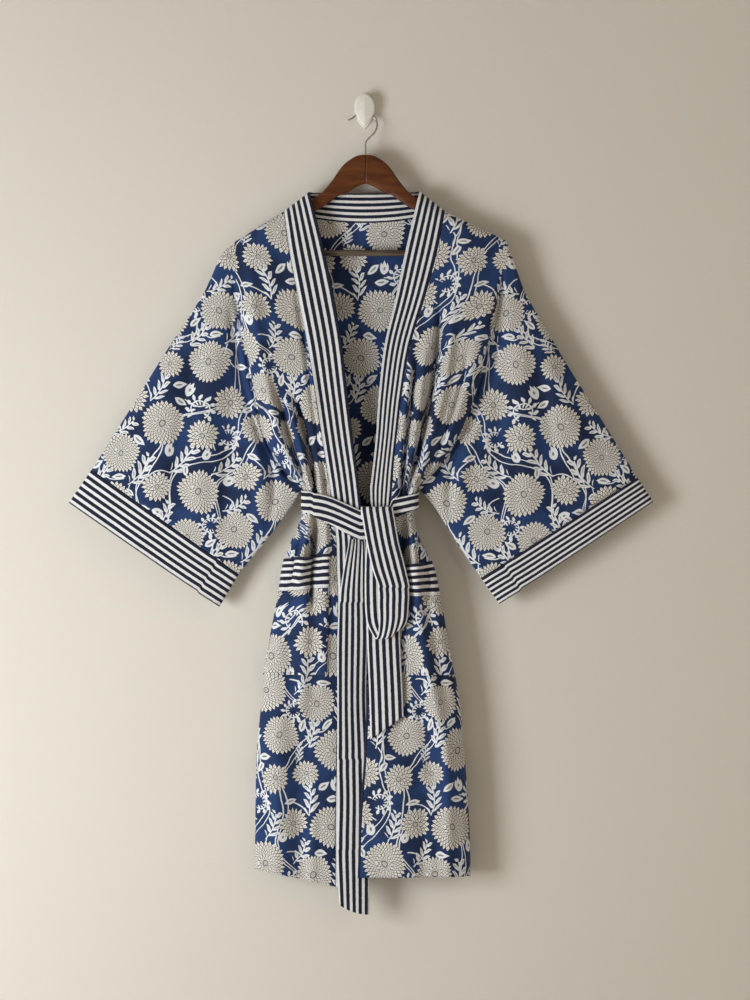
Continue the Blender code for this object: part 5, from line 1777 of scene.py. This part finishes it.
# Wall, floor, light and camera
room = {
    "wallY": 0.0006,
    "floorZ": -1.70,
    "wallColour": (0.80, 0.755, 0.685, 1),
    "wallShade": (0.77, 0.725, 0.655, 1),
    "keyPlace": (-1.98, -1.72, -1.15),
    "keyAim": (0.15, 0.0, -0.75),
    "keySize": (1.0, 1.5),
    "keyPower": 54.0,
    "keyColour": (0.92, 0.97, 1.0),
    "fillPlace": (2.3, -2.6, 0.4),
    "fillPower": 8.0,
    "fillColour": (1.0, 0.94, 0.86),
    "worldColour": (1.0, 0.88, 0.73, 1),
    "worldStrength": 0.29,
}


def makeWallMaterial():
    material, tree, shader = startMaterial("paintedWall", 0.9)
    place = objectPlace(tree)
    clouds = addNoise(tree, place, 1.6, 2.0)[0]
    plug(tree, mixColour(tree, clouds, room["wallShade"], room["wallColour"]), shader.inputs["Base Color"])
    addBump(tree, shader, addNoise(tree, place, 180.0, 4.0, 0.6)[0], 0.10, 0.0006)
    # Seen from behind the wall lets the robe's back through
    behind = tree.nodes.new("ShaderNodeNewGeometry").outputs["Backfacing"]
    clear = tree.nodes.new("ShaderNodeBsdfTransparent")
    blend = tree.nodes.new("ShaderNodeMixShader")
    tree.links.new(behind, blend.inputs[0])
    tree.links.new(shader.outputs[0], blend.inputs[1])
    tree.links.new(clear.outputs[0], blend.inputs[2])
    tree.links.new(blend.outputs[0], tree.nodes["Material Output"].inputs["Surface"])
    return material


def addRoom():
    wallMaterial = makeWallMaterial()
    bm = bmesh.new()
    stand = Matrix.Translation((0, room["wallY"], 0)) @ Matrix.Rotation(math.pi / 2, 4, "X")
    bmesh.ops.create_grid(bm, x_segments=1, y_segments=1, size=4.0, matrix=stand)
    wall = finishMesh("wall", bm, wallMaterial, shade=False)
    bm = bmesh.new()
    bmesh.ops.create_grid(bm, x_segments=1, y_segments=1, size=4.0, matrix=Matrix.Translation((0, 0, room["floorZ"])))
    floor = finishMesh("floor", bm, wallMaterial, shade=False)


def addLight(name, place, aim, size, power, colour):
    light = bpy.data.lights.new(name, "AREA")
    light.shape = "RECTANGLE"
    light.size = size[0]
    light.size_y = size[1]
    light.energy = power
    light.color = colour
    obj = bpy.data.objects.new(name, light)
    obj.location = place
    obj.rotation_euler = (Vector(aim) - Vector(place)).to_track_quat("-Z", "Y").to_euler()
    scene.collection.objects.link(obj)


def addCamera():
    camera = bpy.data.cameras.new("photoCamera")
    camera.sensor_fit = "VERTICAL"
    camera.sensor_height = view["sensorHeight"]
    camera.lens = view["sensorHeight"] * view["frontDistance"] / view["frameHeight"]
    obj = bpy.data.objects.new("photoCamera", camera)
    obj.location = view["eye"]
    obj.rotation_euler = (math.pi / 2, 0, 0)
    scene.collection.objects.link(obj)
    scene.camera = obj


def addWorld():
    world = bpy.data.worlds.new("paleRoom")
    world.use_nodes = True
    background = world.node_tree.nodes["Background"]
    background.inputs[0].default_value = room["worldColour"]
    background.inputs[1].default_value = room["worldStrength"]
    scene.world = world


scene.view_settings.view_transform = "Standard"
addRoom()
addLight("windowLight", room["keyPlace"], room["keyAim"], room["keySize"], room["keyPower"], room["keyColour"])
addLight("roomLight", room["fillPlace"], room["keyAim"], (2.4, 2.4), room["fillPower"], room["fillColour"])
addCamera()
addWorld()

print("scene ready")
